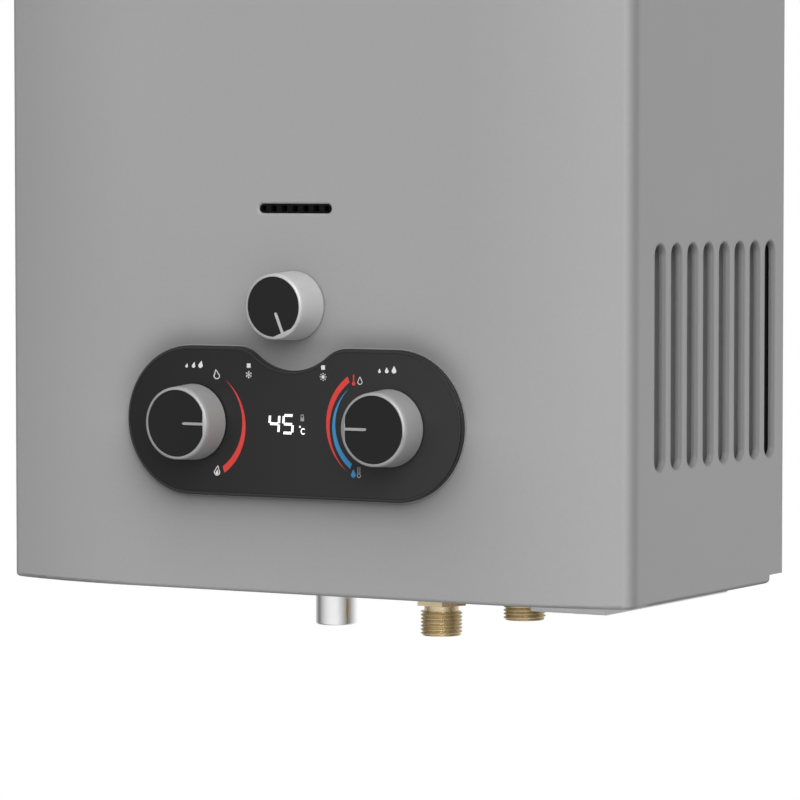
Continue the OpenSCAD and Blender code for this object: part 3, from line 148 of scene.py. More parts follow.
def light_path(tree):
    """Three outputs that are 1 for camera, glossy and transmission rays."""
    path = tree.nodes.new("ShaderNodeLightPath")
    return [path.outputs[f"Is {kind} Ray"] for kind in ("Camera", "Glossy", "Transmission")]


def between_boards(tree, direction):
    """1 in front and behind, and dark where a direction points at the board on either side."""
    axis = (math.cos(BOARD_TURN), math.sin(BOARD_TURN), 0)
    dot = join(tree, "ShaderNodeVectorMath", direction, axis, operation="DOT_PRODUCT")
    sideways = math_node(tree, "ABSOLUTE", dot.node.outputs["Value"])
    squared = math_node(tree, "POWER", sideways, 2.0)
    ahead = math_node(tree, "SQRT", math_node(tree, "SUBTRACT", 1.0, squared))
    return ranged(tree, ahead, BOARD_FULL, 1.0, BOARD_DARK, 1.0)


print(f"boards {BOARD_DARK} bright, turned {math.degrees(BOARD_TURN):.0f} degrees")

# %% Light the room
ROOM_HORIZON, ROOM_ABOVE, BOARD_SHADE = 0.31, 0.42, 0.64


def light_the_room():
    world = bpy.data.worlds.new("room")
    scene.world = world
    world.use_nodes = True
    tree = world.node_tree
    sight = tree.nodes.new("ShaderNodeTexCoord").outputs["Generated"]
    upward = join(tree, "ShaderNodeSeparateXYZ", sight)
    height = upward.node.outputs["Z"]
    mirrored = between_boards(tree, sight)
    lighting = ranged(tree, height, 0.0, 1.0, ROOM_HORIZON, ROOM_ABOVE)
    dimmed = ranged(tree, mirrored, BOARD_DARK, 1.0, BOARD_SHADE, 1.0)
    lighting = math_node(tree, "MULTIPLY", lighting, dimmed)
    by_camera, by_gloss, by_glass = light_path(tree)
    strength = blend_value(tree, by_gloss, lighting, mirrored)
    plain = math_node(tree, "MAXIMUM", by_camera, by_glass)
    strength = blend_value(tree, plain, strength, 1.0)
    background = tree.nodes["Background"]
    background.inputs["Color"].default_value = (1, 1, 1, 1)
    tree.links.new(strength, background.inputs["Strength"])


light_the_room()
print(f"room light {ROOM_HORIZON} at the horizon, {ROOM_ABOVE} above")

# %% [markdown]
# ## Lamps
# One large soft sun stands in for the key lamp, to the right of the front and above it. An
# area lamp close by would do too, but it would leave the lower part of the casing darker,
# and the photograph has the whole height lit alike. The sun shades the bow of the cover from
# left to right and makes the top of each knob brighter than its underside.

# %% Lamps
KEY_TURN, KEY_RISE = math.radians(34), math.radians(28)
KEY_STRENGTH, KEY_SOFTNESS = 2.5, math.radians(50)


def sun(name, turn, rise, strength, softness):
    """A sun seen turned to the right of the front and raised above the horizon."""
    data = bpy.data.lights.new(name, "SUN")
    data.energy = strength
    data.angle = softness
    lamp = bpy.data.objects.new(name, data)
    level = math.cos(rise)
    towards = Vector((math.sin(turn) * level, -math.cos(turn) * level, math.sin(rise)))
    lamp.location = towards * 3
    lamp.rotation_mode = "QUATERNION"
    lamp.rotation_quaternion = towards.to_track_quat("Z", "Y")
    bpy.context.collection.objects.link(lamp)


sun("key_lamp", KEY_TURN, KEY_RISE, KEY_STRENGTH, KEY_SOFTNESS)
print(f"key lamp {math.degrees(KEY_TURN):.0f} degrees to the right, strength {KEY_STRENGTH}")

# %% [markdown]
# ## Floor
# The heater hangs on a wall, so the floor is a metre below it. Its own grey keeps the
# heater's soft shadow, and a glow that only the camera and glass see lifts it to the white of
# the background without putting more light on the heater. Gloss meets the room between the
# two boards there too, so that chrome keeps its dark bands below the horizon.

# %% Floor
FLOOR_Z, FLOOR_REACH = BASE_Z - 1.0, 14
FLOOR_GREY, FLOOR_GLOW = 0.55, 0.6


def floor_material():
    material = bpy.data.materials.new("floor")
    material.use_nodes = True
    tree = material.node_tree
    shader = tree.nodes["Principled BSDF"]
    shader.inputs["Base Color"].default_value = (FLOOR_GREY, FLOOR_GREY, FLOOR_GREY, 1)
    shader.inputs["Roughness"].default_value = 1
    shader.inputs["Specular IOR Level"].default_value = 0
    by_camera, by_gloss, by_glass = light_path(tree)
    where = tree.nodes.new("ShaderNodeTexCoord").outputs["Object"]
    level = join(tree, "ShaderNodeVectorMath", where, (1, 1, 0), operation="MULTIPLY")
    level = join(tree, "ShaderNodeVectorMath", level, operation="NORMALIZE")
    plain = math_node(tree, "MAXIMUM", by_camera, by_glass)
    seen = math_node(tree, "MULTIPLY", plain, FLOOR_GLOW)
    glow = join(tree, "ShaderNodeEmission", (1, 1, 1, 1), seen)
    lit = join(tree, "ShaderNodeAddShader", shader.outputs["BSDF"], glow)
    mirrored = join(tree, "ShaderNodeEmission", (1, 1, 1, 1), between_boards(tree, level))
    both = join(tree, "ShaderNodeMixShader", by_gloss, lit, mirrored)
    tree.links.new(both, tree.nodes["Material Output"].inputs["Surface"])
    return material


def lay_floor():
    mesh = bmesh.new()
    level = Matrix.Translation((0, 0, FLOOR_Z))
    bmesh.ops.create_grid(mesh, x_segments=1, y_segments=1, size=FLOOR_REACH, matrix=level)
    data = bpy.data.meshes.new("floor")
    mesh.to_mesh(data)
    mesh.free()
    data.materials.append(floor_material())
    floor = bpy.data.objects.new("floor", data)
    bpy.context.collection.objects.link(floor)


lay_floor()
print(f"floor at {FLOOR_Z:.2f} m")

# %% [markdown]
# ## Finishes
# No real surface has a single flat colour. Pictures of surfaces could be laid on the pieces,
# but they need files and show seams, so each finish is computed. It mixes two colours by
# a fine pattern and a broad one, and lets the fine pattern vary the gloss and press a slight
# relief into the surface. The patterns are noise, the patches of zinc crystals, or noise
# drawn out into lines as on turned and brushed metal. They read object coordinates in real
# millimetres, so a grain has one size on every piece, and it stays where it is when a joint
# moves. A last step rounds the light on sharp edges.

# %% A pattern
NOISE_DETAIL, NOISE_LOW, NOISE_HIGH = 3, 0.3, 0.7


def pattern(tree, size_mm, stretch=(1, 1, 1), kind="noise"):
    """A pattern from 0 to 1 whose grains have the given size, longer where stretch is small."""
    where = tree.nodes.new("ShaderNodeTexCoord").outputs["Object"]
    mapping = tree.nodes.new("ShaderNodeMapping")
    mapping.inputs["Scale"].default_value = [s / (size_mm * MM) for s in stretch]
    tree.links.new(where, mapping.inputs["Vector"])
    if kind == "crystals":
        cells = tree.nodes.new("ShaderNodeTexVoronoi")
        cells.inputs["Scale"].default_value = 1
        tree.links.new(mapping.outputs["Vector"], cells.inputs["Vector"])
        return join(tree, "ShaderNodeSeparateColor", cells.outputs["Color"])
    noise = tree.nodes.new("ShaderNodeTexNoise")
    noise.inputs["Scale"].default_value = 1
    noise.inputs["Detail"].default_value = NOISE_DETAIL
    tree.links.new(mapping.outputs["Vector"], noise.inputs["Vector"])
    return ranged(tree, noise.outputs["Fac"], NOISE_LOW, NOISE_HIGH, 0.0, 1.0)


print(f"noise from {NOISE_LOW} to {NOISE_HIGH} is drawn out to the whole range")

# %% A finish
FINISHES = {}
EDGE_SAMPLES = 4


def grey(value):
    return value, value, value


def finish(
    name, dark, light, metallic=0.0, rough=(0.4, 0.5), grain_mm=1.0, broad_mm=40.0,
    kind="noise", stretch=(1, 1, 1), relief_mm=0.0, edge_mm=0.0, gloss=0.5, coat=0.0,
):
    """A material that mixes two colours by a fine and a broad pattern."""
    material = bpy.data.materials.new(name)
    material.use_nodes = True
    tree = material.node_tree
    shader = tree.nodes["Principled BSDF"]
    fine = pattern(tree, grain_mm, stretch, kind)
    mixed = blend_value(tree, 0.5, fine, pattern(tree, broad_mm))
    colour = tree.nodes.new("ShaderNodeMix")
    colour.data_type = "RGBA"
    colour.inputs["A"].default_value = (*dark, 1)
    colour.inputs["B"].default_value = (*light, 1)
    tree.links.new(mixed, colour.inputs["Factor"])
    tree.links.new(colour.outputs["Result"], shader.inputs["Base Color"])
    tree.links.new(ranged(tree, fine, 0.0, 1.0, *rough), shader.inputs["Roughness"])
    normal = None
    if edge_mm:
        edge = tree.nodes.new("ShaderNodeBevel")
        edge.samples = EDGE_SAMPLES
        edge.inputs["Radius"].default_value = edge_mm * MM
        normal = edge.outputs["Normal"]
        tree.links.new(normal, shader.inputs["Normal"])
    if relief_mm:
        relief = tree.nodes.new("ShaderNodeBump")
        relief.inputs["Distance"].default_value = relief_mm * MM
        tree.links.new(fine, relief.inputs["Height"])
        if normal:
            tree.links.new(normal, relief.inputs["Normal"])
        tree.links.new(relief.outputs["Normal"], shader.inputs["Normal"])
    shader.inputs["Metallic"].default_value = metallic
    shader.inputs["Specular IOR Level"].default_value = gloss
    shader.inputs["Coat Weight"].default_value = coat
    FINISHES[name] = material
    return tree, shader, colour


print("ready to make finishes")

# %% [markdown]
# ### Silver paint and its soft shade
# The cover is powder-coated in a plain silver grey. The coat is smooth, with a faint orange
# peel about two millimetres wide. In the photograph the paint is darker round the control
# panel and the upper knob, over more than the lamps alone would shade. A lamp with a mask
# could do that, but it would stay behind when the view turns, so this soft band of painted
# shade is part of the finish. It fades with the distance from two round-ended outlines that
# are found from object coordinates. Painted shade also darkens the lips of the slots, where
# the coat turns inwards, and the last turn of the upright corners.

# %% Distances in a material
def object_axes(tree):
    where = tree.nodes.new("ShaderNodeTexCoord").outputs["Object"]
    return join(tree, "ShaderNodeSeparateXYZ", where).node.outputs


def outline_gap(tree, axes, middle_z, straight, radius):
    """The gap to a round-ended outline, and the upward share of the way there."""
    across = math_node(tree, "SUBTRACT", math_node(tree, "ABSOLUTE", axes["X"]), straight)
    across = math_node(tree, "MAXIMUM", across, 0.0)
    upward = math_node(tree, "SUBTRACT", axes["Z"], middle_z)
    squares = [math_node(tree, "MULTIPLY", side, side) for side in (across, upward)]
    reach = math_node(tree, "SQRT", math_node(tree, "ADD", *squares))
    gap = math_node(tree, "MAXIMUM", math_node(tree, "SUBTRACT", reach, radius), 0.0)
    return gap, math_node(tree, "DIVIDE", upward, math_node(tree, "MAXIMUM", reach, MM))


def fading(tree, gap, reach, power=1.0):
    """1 at the outline, falling off over the given reach."""
    share = math_node(tree, "POWER", math_node(tree, "DIVIDE", gap, reach), power)
    return math_node(tree, "EXPONENT", math_node(tree, "MULTIPLY", share, -1.0))


def weighted(tree, pairs):
    """The sum of each value times its weight."""
    total = None
    for value, weight in pairs:
        part = math_node(tree, "MULTIPLY", value, weight)
        total = part if total is None else math_node(tree, "ADD", total, part)
    return total


print("distances in a material ready")

# %% The shade round the panel and the upper knob
PANEL_MIDDLE_Z, KNOB_MIDDLE_Z = BASE_Z + 83.5 * MM, BASE_Z + 140.2 * MM
PANEL_RADIUS, PANEL_STRAIGHT, KNOB_RADIUS = 36.5 * MM, 57.75 * MM, 16.75 * MM
CLOSE_REACH, WIDE_REACH, KNOB_REACH = 8.5 * MM, 20 * MM, 11 * MM
CLOSE_ABOVE, CLOSE_BELOW, CLOSE_ROUND = 0.28, 0.10, 0.08
WIDE_ABOVE, WIDE_BELOW, KNOB_SHARE = 0.07, 0.34, 0.20
DIP_FROM_X, DIP_TO_X, DIP_SHARE = 20 * MM, 35 * MM, 0.6
SIDE_FROM_Y, FRONT_FROM_Y = -150 * MM, -175 * MM


def soft_shade(tree, axes):
    """How much painted shade darkens the paint near the panel and the upper knob."""
    gap, slope = outline_gap(tree, axes, PANEL_MIDDLE_Z, PANEL_STRAIGHT, PANEL_RADIUS)
    aside = math_node(tree, "ABSOLUTE", axes["X"])
    dip = ranged(tree, aside, DIP_FROM_X, DIP_TO_X, DIP_SHARE, 1.0)
    above = math_node(tree, "MULTIPLY", ranged(tree, slope, 0.0, 1.0, 0.0, 1.0), dip)
    below = ranged(tree, slope, 0.0, -1.0, 0.0, 1.0)
    close = weighted(tree, [(above, CLOSE_ABOVE), (below, CLOSE_BELOW), (1.0, CLOSE_ROUND)])
    wide = weighted(tree, [(above, WIDE_ABOVE), (below, WIDE_BELOW)])
    knob_gap, _ = outline_gap(tree, axes, KNOB_MIDDLE_Z, 0.0, KNOB_RADIUS)
    shade = weighted(tree, [
        (fading(tree, gap, CLOSE_REACH, 2.0), close),
        (fading(tree, gap, WIDE_REACH), wide),
        (fading(tree, knob_gap, KNOB_REACH), KNOB_SHARE),
    ])
    at_front = ranged(tree, axes["Y"], SIDE_FROM_Y, FRONT_FROM_Y, 0.0, 1.0)
    return math_node(tree, "MULTIPLY", shade, at_front)


print(f"shade fades over {WIDE_REACH / MM:.0f} mm, and {KNOB_REACH / MM:.0f} mm at the knob")

# %% The shade on slot lips and upright corners
SIDE_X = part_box("front_cover")[1].x
LIP_REACH, LIP_SHARE = 0.2 * MM, 0.48
CORNER_LINE_Y, SLOTS_LINE_Y = -152 * MM, -148 * MM
CORNER_IN, CORNER_Y = 0.8 * MM, -164.6 * MM
CORNER_NEAR, CORNER_FAR, CORNER_SHARE = 1.5 * MM, 5.5 * MM, 0.22


def edge_shade(tree, axes):
    """How much painted shade darkens the paint on the lips of the slots and behind the upright
    corners.
    """
    depth = math_node(tree, "SUBTRACT", SIDE_X, math_node(tree, "ABSOLUTE", axes["X"]))
    outside = fading(tree, math_node(tree, "MAXIMUM", depth, 0.0), LIP_REACH)
    inward = math_node(tree, "SUBTRACT", 1.0, outside)
    at_slots = ranged(tree, axes["Y"], CORNER_LINE_Y, SLOTS_LINE_Y, 0.0, LIP_SHARE)
    in_corner = math_node(tree, "SUBTRACT", depth, CORNER_IN)
    ahead = math_node(tree, "SUBTRACT", axes["Y"], CORNER_Y)
    squares = [math_node(tree, "MULTIPLY", side, side) for side in (in_corner, ahead)]
    away = math_node(tree, "SQRT", math_node(tree, "ADD", *squares))
    at_corner = ranged(tree, away, CORNER_NEAR, CORNER_FAR, CORNER_SHARE, 0.0)
    return math_node(tree, "ADD", math_node(tree, "MULTIPLY", inward, at_slots), at_corner)


def darken(tree, shader, colour, share):
    """Mixes the finish's colour with black by the given share, painting shade into it."""
    shaded = tree.nodes.new("ShaderNodeMix")
    shaded.data_type = "RGBA"
    shaded.inputs["B"].default_value = (0, 0, 0, 1)
    tree.links.new(share, shaded.inputs["Factor"])
    tree.links.new(colour.outputs["Result"], shaded.inputs["A"])
    tree.links.new(shaded.outputs["Result"], shader.inputs["Base Color"])


print(f"slot lips up to {LIP_SHARE:.0%} darker, corners up to {CORNER_SHARE:.0%}")

# %% Silver paint
tree, shader, colour = finish(
    "silver_paint", grey(0.365), grey(0.385), 0.04, (0.44, 0.50), grain_mm=2.0,
    broad_mm=120, relief_mm=0.004, gloss=0.25,
)
axes = object_axes(tree)
# Painted shade: the soft shade and the edge shade darken the paint's colour.
shade = math_node(tree, "ADD", soft_shade(tree, axes), edge_shade(tree, axes))
darken(tree, shader, colour, shade)
# The lip is the cover's silver paint, made darker as painted shade.
finish("panel_lip", grey(0.27), grey(0.30), 0.1, (0.36, 0.42), grain_mm=2.0, gloss=0.3)
print("silver paint with its soft shade")

# %% [markdown]
# ### Sheet metal and machined metal
# The inner sheets are hot-dip galvanized: flat zinc crystals a few millimetres wide, each
# a little brighter or darker than the next, as Voronoi cells are. Turned parts carry fine
# lines round their axis, which noise gives when it is squeezed along that axis. Castings have
# a coarse skin, and copper that has been soldered and heated goes patchy and brown. Painted
# shade darkens the front faces of the knobs' rims, and the two lower knobs take a darker copy
# of the knob metal as painted shade.

# %% Knob metal
KNOB_FACE_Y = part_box("season_knob")[0].y
RIM_FROM_Y, RIM_TO_Y, RIM_SHARE = KNOB_FACE_Y + 0.1 * MM, KNOB_FACE_Y + 0.5 * MM, 0.26

# Painted shade: the lower knobs get a darker copy of the knob metal, and each rim's front face is
# darkened.
for name, dark, light in (("knob_metal", 0.66, 0.72), ("low_knob_metal", 0.49, 0.54)):
    tree, shader, colour = finish(
        name, grey(dark), grey(light), 0.4, (0.42, 0.50), 0.25, 30,
        stretch=(0.04, 1, 0.04), relief_mm=0.003, edge_mm=0.25,
    )
    rim = ranged(tree, object_axes(tree)["Y"], RIM_FROM_Y, RIM_TO_Y, RIM_SHARE, 0.0)
    darken(tree, shader, colour, rim)
print(f"knob rims {RIM_SHARE:.0%} darker than the skirts")

# %% Other metals
finish("zinc_sheet", grey(0.36), (0.46, 0.47, 0.48), 0.75, (0.36, 0.50), 7, 150, "crystals")
# Painted shade: a darker, duller copy of the zinc for the baffles, which sit in shade behind the
# side slots.
finish("zinc_painted_shade", grey(0.30), grey(0.36), 0.2, (0.5, 0.6), 5, 60, "crystals", gloss=0.2)
finish("steel", grey(0.46), grey(0.58), 0.9, (0.28, 0.42), 0.3, 20, stretch=(1, 1, 0.1))
finish("cast_alloy", grey(0.34), grey(0.46), 0.7, (0.48, 0.62), 0.8, 25, relief_mm=0.08)
finish(
    "brass", (0.68, 0.55, 0.34), (0.80, 0.67, 0.44), 0.85, (0.24, 0.32), 0.25, 12,
    stretch=(0.05, 0.05, 1), edge_mm=0.15,
)
finish("copper", (0.36, 0.16, 0.10), (0.66, 0.33, 0.20), 0.95, (0.28, 0.42), 1.5, 18)
finish(
    "hot_fitting", grey(0.82), grey(0.88), 1.0, (0.16, 0.20), 0.3, 15, stretch=(0.05, 0.05, 1)
)
print(f"metals ready, {len(FINISHES)} finishes so far")

# %% [markdown]
# ### Plastics, ceramic and glass
# Moulded plastic copies the spark-eroded skin of its mould, a grain of a few tenths of
# a millimetre, and fine noise pressed in as a slight relief gives that. The panel's face
# sheet is smoother than its frame, and painted light makes it lighter to the right. Dark
# plastic mirrors the pale room more than it shows its own colour, so its gloss is set low to
# stay as dark as in the photograph. The battery box is a pearl grey, half lacquer and half
# metal flake, so that it mirrors the bright floor from its place in the shade of the casing.

# %% Dark plastics
MATT_BLACK = grey(0.010), grey(0.013)
PANEL_END_X, GRAIN_SHARE = 94 * MM, 0.12

finish(
    "black_plastic", *MATT_BLACK, 0, (0.42, 0.52), 0.4, 30,
    relief_mm=0.01, edge_mm=0.3, gloss=0.18,
)
finish(
    "panel_frame", *MATT_BLACK, 0, (0.36, 0.42), 0.4, 30,
    relief_mm=0.004, edge_mm=0.35, gloss=0.5,
)
finish("grille_black", grey(0.003), grey(0.005), 0, (0.6, 0.7), 0.4, 30, gloss=0.08)
finish("cable", grey(0.015), grey(0.025), 0, (0.45, 0.55), 0.8, 30)
tree, shader, colour = finish(
    "panel_sheet", grey(0.008), grey(0.031), 0, (0.40, 0.46), 0.5, 40,
    relief_mm=0.002, gloss=0.22,
)
# Painted light: the face sheet gets lighter towards its right end.
painted_light_rightward = ranged(tree, object_axes(tree)["X"], -PANEL_END_X, PANEL_END_X, 0.0, 1.0)
lighter = blend_value(tree, GRAIN_SHARE, painted_light_rightward, pattern(tree, 0.5))
tree.links.new(lighter, colour.inputs["Factor"])
print("dark plastics ready")

# %% Pale plastics and the rest
finish(
    "light_plastic", grey(0.78), grey(0.84), 0.4, (0.36, 0.44), 0.5, 30,
    relief_mm=0.01, edge_mm=0.3,
)
finish(
    "ivory_plastic", (0.56, 0.54, 0.46), (0.64, 0.62, 0.54), 0, (0.4, 0.5), 0.5, 20,
    relief_mm=0.01,
)
finish("circuit_board", (0.02, 0.09, 0.04), (0.04, 0.14, 0.06), 0, (0.3, 0.4), 0.6, 8)
finish("ceramic", (0.74, 0.73, 0.69), (0.84, 0.83, 0.79), 0, (0.16, 0.24), 0.8, 10, coat=0.4)
finish(
    "blue_coil", (0.02, 0.04, 0.13), (0.04, 0.09, 0.26), 0, (0.25, 0.35), 0.6,
    stretch=(1, 0.1, 0.1),
)
finish("cell_sleeve", (0.02, 0.09, 0.06), (0.04, 0.14, 0.10), 0, (0.25, 0.35), 2.0, 20)
tree, shader, colour = finish("clear_glass", grey(0.90), grey(0.95), 0, (0.03, 0.05), 3.0, 40)
shader.inputs["Transmission Weight"].default_value = 1.0
print(f"{len(FINISHES)} finishes so far")

# %% [markdown]
# ### Printing inks
# The scales and signs are screen-printed: matt inks with a slightly uneven coat, so each ink
# is a finish with a broad, weak pattern. The figures of the display are lit from behind. A
# lamp in each would light the panel too, so their finish gives off light of its own colour.

# %% Inks
finish("white_ink", grey(0.70), grey(0.80), 0, (0.5, 0.6), 0.3, 6)
finish("dim_ink", grey(0.30), grey(0.38), 0, (0.5, 0.6), 0.3, 6)
finish("red_ink", (0.60, 0.035, 0.03), (0.72, 0.05, 0.04), 0, (0.45, 0.55), 0.3, 6)
finish("blue_ink", (0.03, 0.22, 0.48), (0.05, 0.30, 0.60), 0, (0.45, 0.55), 0.3, 6)
tree, shader, colour = finish("lit_digits", grey(0.85), grey(0.95), 0, (0.5, 0.6), 0.3, 6)
tree.links.new(colour.outputs["Result"], shader.inputs["Emission Color"])
shader.inputs["Emission Strength"].default_value = 0.6
print(f"{len(FINISHES)} finishes")

# %% [markdown]
# ## Dress the CAD nodes
# The record gives each CAD node a material slot. A list of finishes by node could be typed
# here, but the slots already say what each piece is made of, so they pick the finish. A few
# nodes have a finish of their own: the baffles behind the side slots, a darker and duller zinc
# as painted shade, the panel's frame, the grille and the two lower knobs, a darker knob metal
# as painted shade.

# %% Finishes for the CAD nodes
SLOT_OF = {s["node"]: s["material_slot"] for s in frame["record"]["subparts"]}
OWN_FINISH = {
    "side_baffle_left": "zinc_painted_shade",
    "side_baffle_right": "zinc_painted_shade",
    "control_panel": "panel_frame",
    "viewing_grille": "grille_black",
    "temp_knob": "low_knob_metal",
    "water_knob": "low_knob_metal",
}
FINISH_OF = {name: OWN_FINISH.get(name, slot) for name, slot in SLOT_OF.items()}

for name, node in frame["nodes"].items():
    node.data.materials.clear()
    node.data.materials.append(FINISHES[FINISH_OF[name]])
print(f"dressed {len(frame['nodes'])} CAD nodes with {len(set(FINISH_OF.values()))} finishes")

# %% [markdown]
# ## Slimmer pointer bars
# The pointer bars in the photograph are slimmer than the 2 mm of the CAD. A new knob could be
# turned and its bar cut in, but the CAD knob is right in all but this. So a copy of each knob
# and of its inlay has the bar's side walls moved towards the bar's middle line. Only corners
# close to that line and in front of the inlay's back move, so the ring stays as it is.

# %% Copies of CAD meshes
SAME_PLACE, FLAT_NORMAL, FLAT_ANGLE = 1e-6, 0.9999, math.radians(0.2)


def merged_copy(node):
    """The node's mesh with its loose triangles joined."""
    mesh = bmesh.new()
    mesh.from_mesh(frame["nodes"][node].data)
    bmesh.ops.remove_doubles(mesh, verts=mesh.verts, dist=SAME_PLACE)
    return mesh


def make_flats_whole(mesh, axis):
    """Turns the triangles of each flat area across an axis into one face."""
    inner = []
    for edge in mesh.edges:
        flat = all(abs(face.normal[axis]) > FLAT_NORMAL for face in edge.link_faces)
        if edge.is_manifold and flat:
            inner.append(edge)
    bmesh.ops.dissolve_limit(mesh, angle_limit=FLAT_ANGLE, verts=[], edges=inner)


print("ready to copy CAD meshes")

# %% New pieces
SHARP_ANGLE = math.radians(40)


def add_piece(name, mesh, body, finish_name, replaced=None):
    """Turns a mesh into a piece that rides on a body, and takes a CAD node's place if asked."""
    data = bpy.data.meshes.new(name)
    mesh.to_mesh(data)
    mesh.free()
    data.materials.clear()
    data.materials.append(FINISHES[finish_name])
    data.polygons.foreach_set("use_smooth", [True] * len(data.polygons))
    data.set_sharp_from_angle(angle=SHARP_ANGLE)
    piece = bpy.data.objects.new(name, data)
    bpy.context.collection.objects.link(piece)
    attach(piece, body)
    if replaced:
        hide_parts(replaced)
    return len(data.polygons)


print(f"edges sharper than {math.degrees(SHARP_ANGLE):.0f} degrees stay sharp")

# %% Slim the bars
BAR_HALF, BAR_SHARE = 1.07 * MM, 0.68
BAR_START, RING_WIDE, SLACK = 3 * MM, 3.2 * MM, 0.02 * MM
SEASON_TURN = math.radians(22.5)
POINTERS = {
    "season_knob": (math.sin(SEASON_TURN), -math.cos(SEASON_TURN)),
    "temp_knob": (1, 0),
    "water_knob": (-1, 0),
}


def slim_bar(node, body, along):
    """Puts a copy with a slimmer pointer bar in the place of a knob or its inlay."""
    low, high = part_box(body)
    middle = Vector(((low.x + high.x) / 2, (low.z + high.z) / 2))
    along = Vector(along)
    across = Vector((-along.y, along.x))
    bar_end = (high.x - low.x) / 2 - RING_WIDE
    inlay_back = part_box(body + "_inlay")[1].y + SLACK
    mesh = merged_copy(node)
    make_flats_whole(mesh, 1)
    moved = 0
    for corner in mesh.verts:
        offset = Vector((corner.co.x, corner.co.z)) - middle
        out, side = offset.dot(along), offset.dot(across)
        in_bar = BAR_START < out < bar_end and abs(side) < BAR_HALF
        if in_bar and corner.co.y < inlay_back:
            slid = middle + along * out + across * side * BAR_SHARE
            corner.co.x, corner.co.z = slid
            moved += 1
    faces = add_piece(node + "_slim", mesh, body, FINISH_OF[node], node)
    print(f"{node}: {moved} corners moved, {faces} faces")


for body, along in POINTERS.items():
    slim_bar(body, body, along)
    slim_bar(body + "_inlay", body, along)

# %% [markdown]
# ## A lip round the panel
# A thin line of the cover's own silver runs round the dark panel in the photograph: the edge
# of the cover is pressed up there to take the panel. A curve with a thickness could be laid
# round the panel, but its path would have to be typed a second time. Here the outline comes
# from the panel itself: a copy is cut with a plane just in front of the cover, the outline is
# filled, a ring half a millimetre wide is set off outwards from it, and the ring is raised.

# %% Raise a flat shape
CUT_TOLERANCE = 1e-7


def everything(mesh):
    return list(mesh.verts) + list(mesh.edges) + list(mesh.faces)


def raise_faces(mesh, by):
    """Extrudes all faces and keeps the first ones as the back."""
    raised = bmesh.ops.extrude_face_region(mesh, geom=list(mesh.faces), use_keep_orig=True)["geom"]
    top = [part for part in raised if isinstance(part, bmesh.types.BMVert)]
    bmesh.ops.translate(mesh, verts=top, vec=by)
    bmesh.ops.recalc_face_normals(mesh, faces=mesh.faces)


print("ready to raise flat shapes")

# %% Panel lip
COVER_Y, CUT_AHEAD = -182 * MM, 1.0 * MM
LIP_WIDE, LIP_HIGH = 0.55 * MM, 0.6 * MM


def panel_lip():
    mesh = merged_copy("control_panel")
    bmesh.ops.bisect_plane(
        mesh, geom=everything(mesh), dist=CUT_TOLERANCE, plane_co=(0, COVER_Y - CUT_AHEAD, 0),
        plane_no=(0, 1, 0), clear_inner=True, clear_outer=True,
    )
    filled = bmesh.ops.edgeloop_fill(mesh, edges=mesh.edges)["faces"]
    outline = max(filled, key=lambda face: face.calc_area())
    others = [face for face in filled if face is not outline]
    bmesh.ops.delete(mesh, geom=others, context="FACES")
    bmesh.ops.translate(mesh, verts=mesh.verts, vec=(0, CUT_AHEAD, 0))
    bmesh.ops.inset_individual(mesh, faces=[outline], thickness=-LIP_WIDE, use_even_offset=True)
    bmesh.ops.delete(mesh, geom=[outline], context="FACES")
    raise_faces(mesh, (0, -LIP_HIGH, 0))
    return add_piece("panel_lip", mesh, "heater", "panel_lip")


print(f"panel lip: {panel_lip()} faces")

# %% [markdown]
# ## Printing on the control panel
# The signs are printed on the dark face sheet. They could be painted in the material by
# distances, as the painted soft shade is, but a sign of its own mesh keeps a crisp edge.
# Screen-printed ink stands a few hundredths of a millimetre proud, so each sign is drawn flat
# from circles, grids and spun arcs, and is then extruded to that thickness. The words of the
# real panel are left out, and plain signs stand in their places.

# %% Flat shapes
def placed(x, z, wide=1.0, high=1.0, turn=0.0):
    """A matrix that scales a unit shape, turns it and moves it, in millimetres."""
    scale = Matrix.Diagonal((wide, high, 1, 1))
    return Matrix.Translation((x, z, 0)) @ Matrix.Rotation(turn, 4, "Z") @ scale


def add_disc(mesh, x, z, wide, sides=32):
    """A filled circle. Returns its corners."""
    matrix = placed(x, z, wide, wide)
    disc = bmesh.ops.create_circle(mesh, cap_ends=True, radius=0.5, segments=sides, matrix=matrix)
    return disc["verts"]


def add_bar(mesh, x0, z0, x1, z1, width):
    """A straight line of the given width from one point to another."""
    length, turn = math.hypot(x1 - x0, z1 - z0), math.atan2(z1 - z0, x1 - x0)
    middle = placed((x0 + x1) / 2, (z0 + z1) / 2, length, width, turn)
    bmesh.ops.create_grid(mesh, x_segments=1, y_segments=1, size=0.5, matrix=middle)


print("discs and bars ready")

# %% Drops and outlines
TIP_NARROW, TIP_RISE = 0.55, 0.75


def add_drop(mesh, x, z, wide, high, lean=0.0):
    """A drop: a circle whose upper half is drawn up to a tip, which may lean over."""
    corners = bmesh.ops.create_circle(mesh, cap_ends=True, radius=1, segments=32)["verts"]
    for corner in corners:
        rise = max(0.0, corner.co.y)
        corner.co.x = corner.co.x * (1 - TIP_NARROW * rise) + lean * rise**2
        corner.co.y += TIP_RISE * rise**2
    to_middle = Matrix.Translation((0, -TIP_RISE / 2, 0))
    matrix = placed(x, z, wide / 2, high / (2 + TIP_RISE)) @ to_middle
    bmesh.ops.transform(mesh, verts=corners, matrix=matrix)
    return corners


def hollow(mesh, corners, line):
    """Leaves only a line of the given width along the edge of a filled shape."""
    face = next(f for f in corners[0].link_faces if set(f.verts) == set(corners))
    bmesh.ops.inset_individual(mesh, faces=[face], thickness=line, use_even_offset=True)
    bmesh.ops.delete(mesh, geom=[face], context="FACES")


print("drops and outlines ready")

# %% Print a sign
PANEL_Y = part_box("panel_face")[0].y
INK_MM, SAME_PLACE_MM = 0.05, 0.001


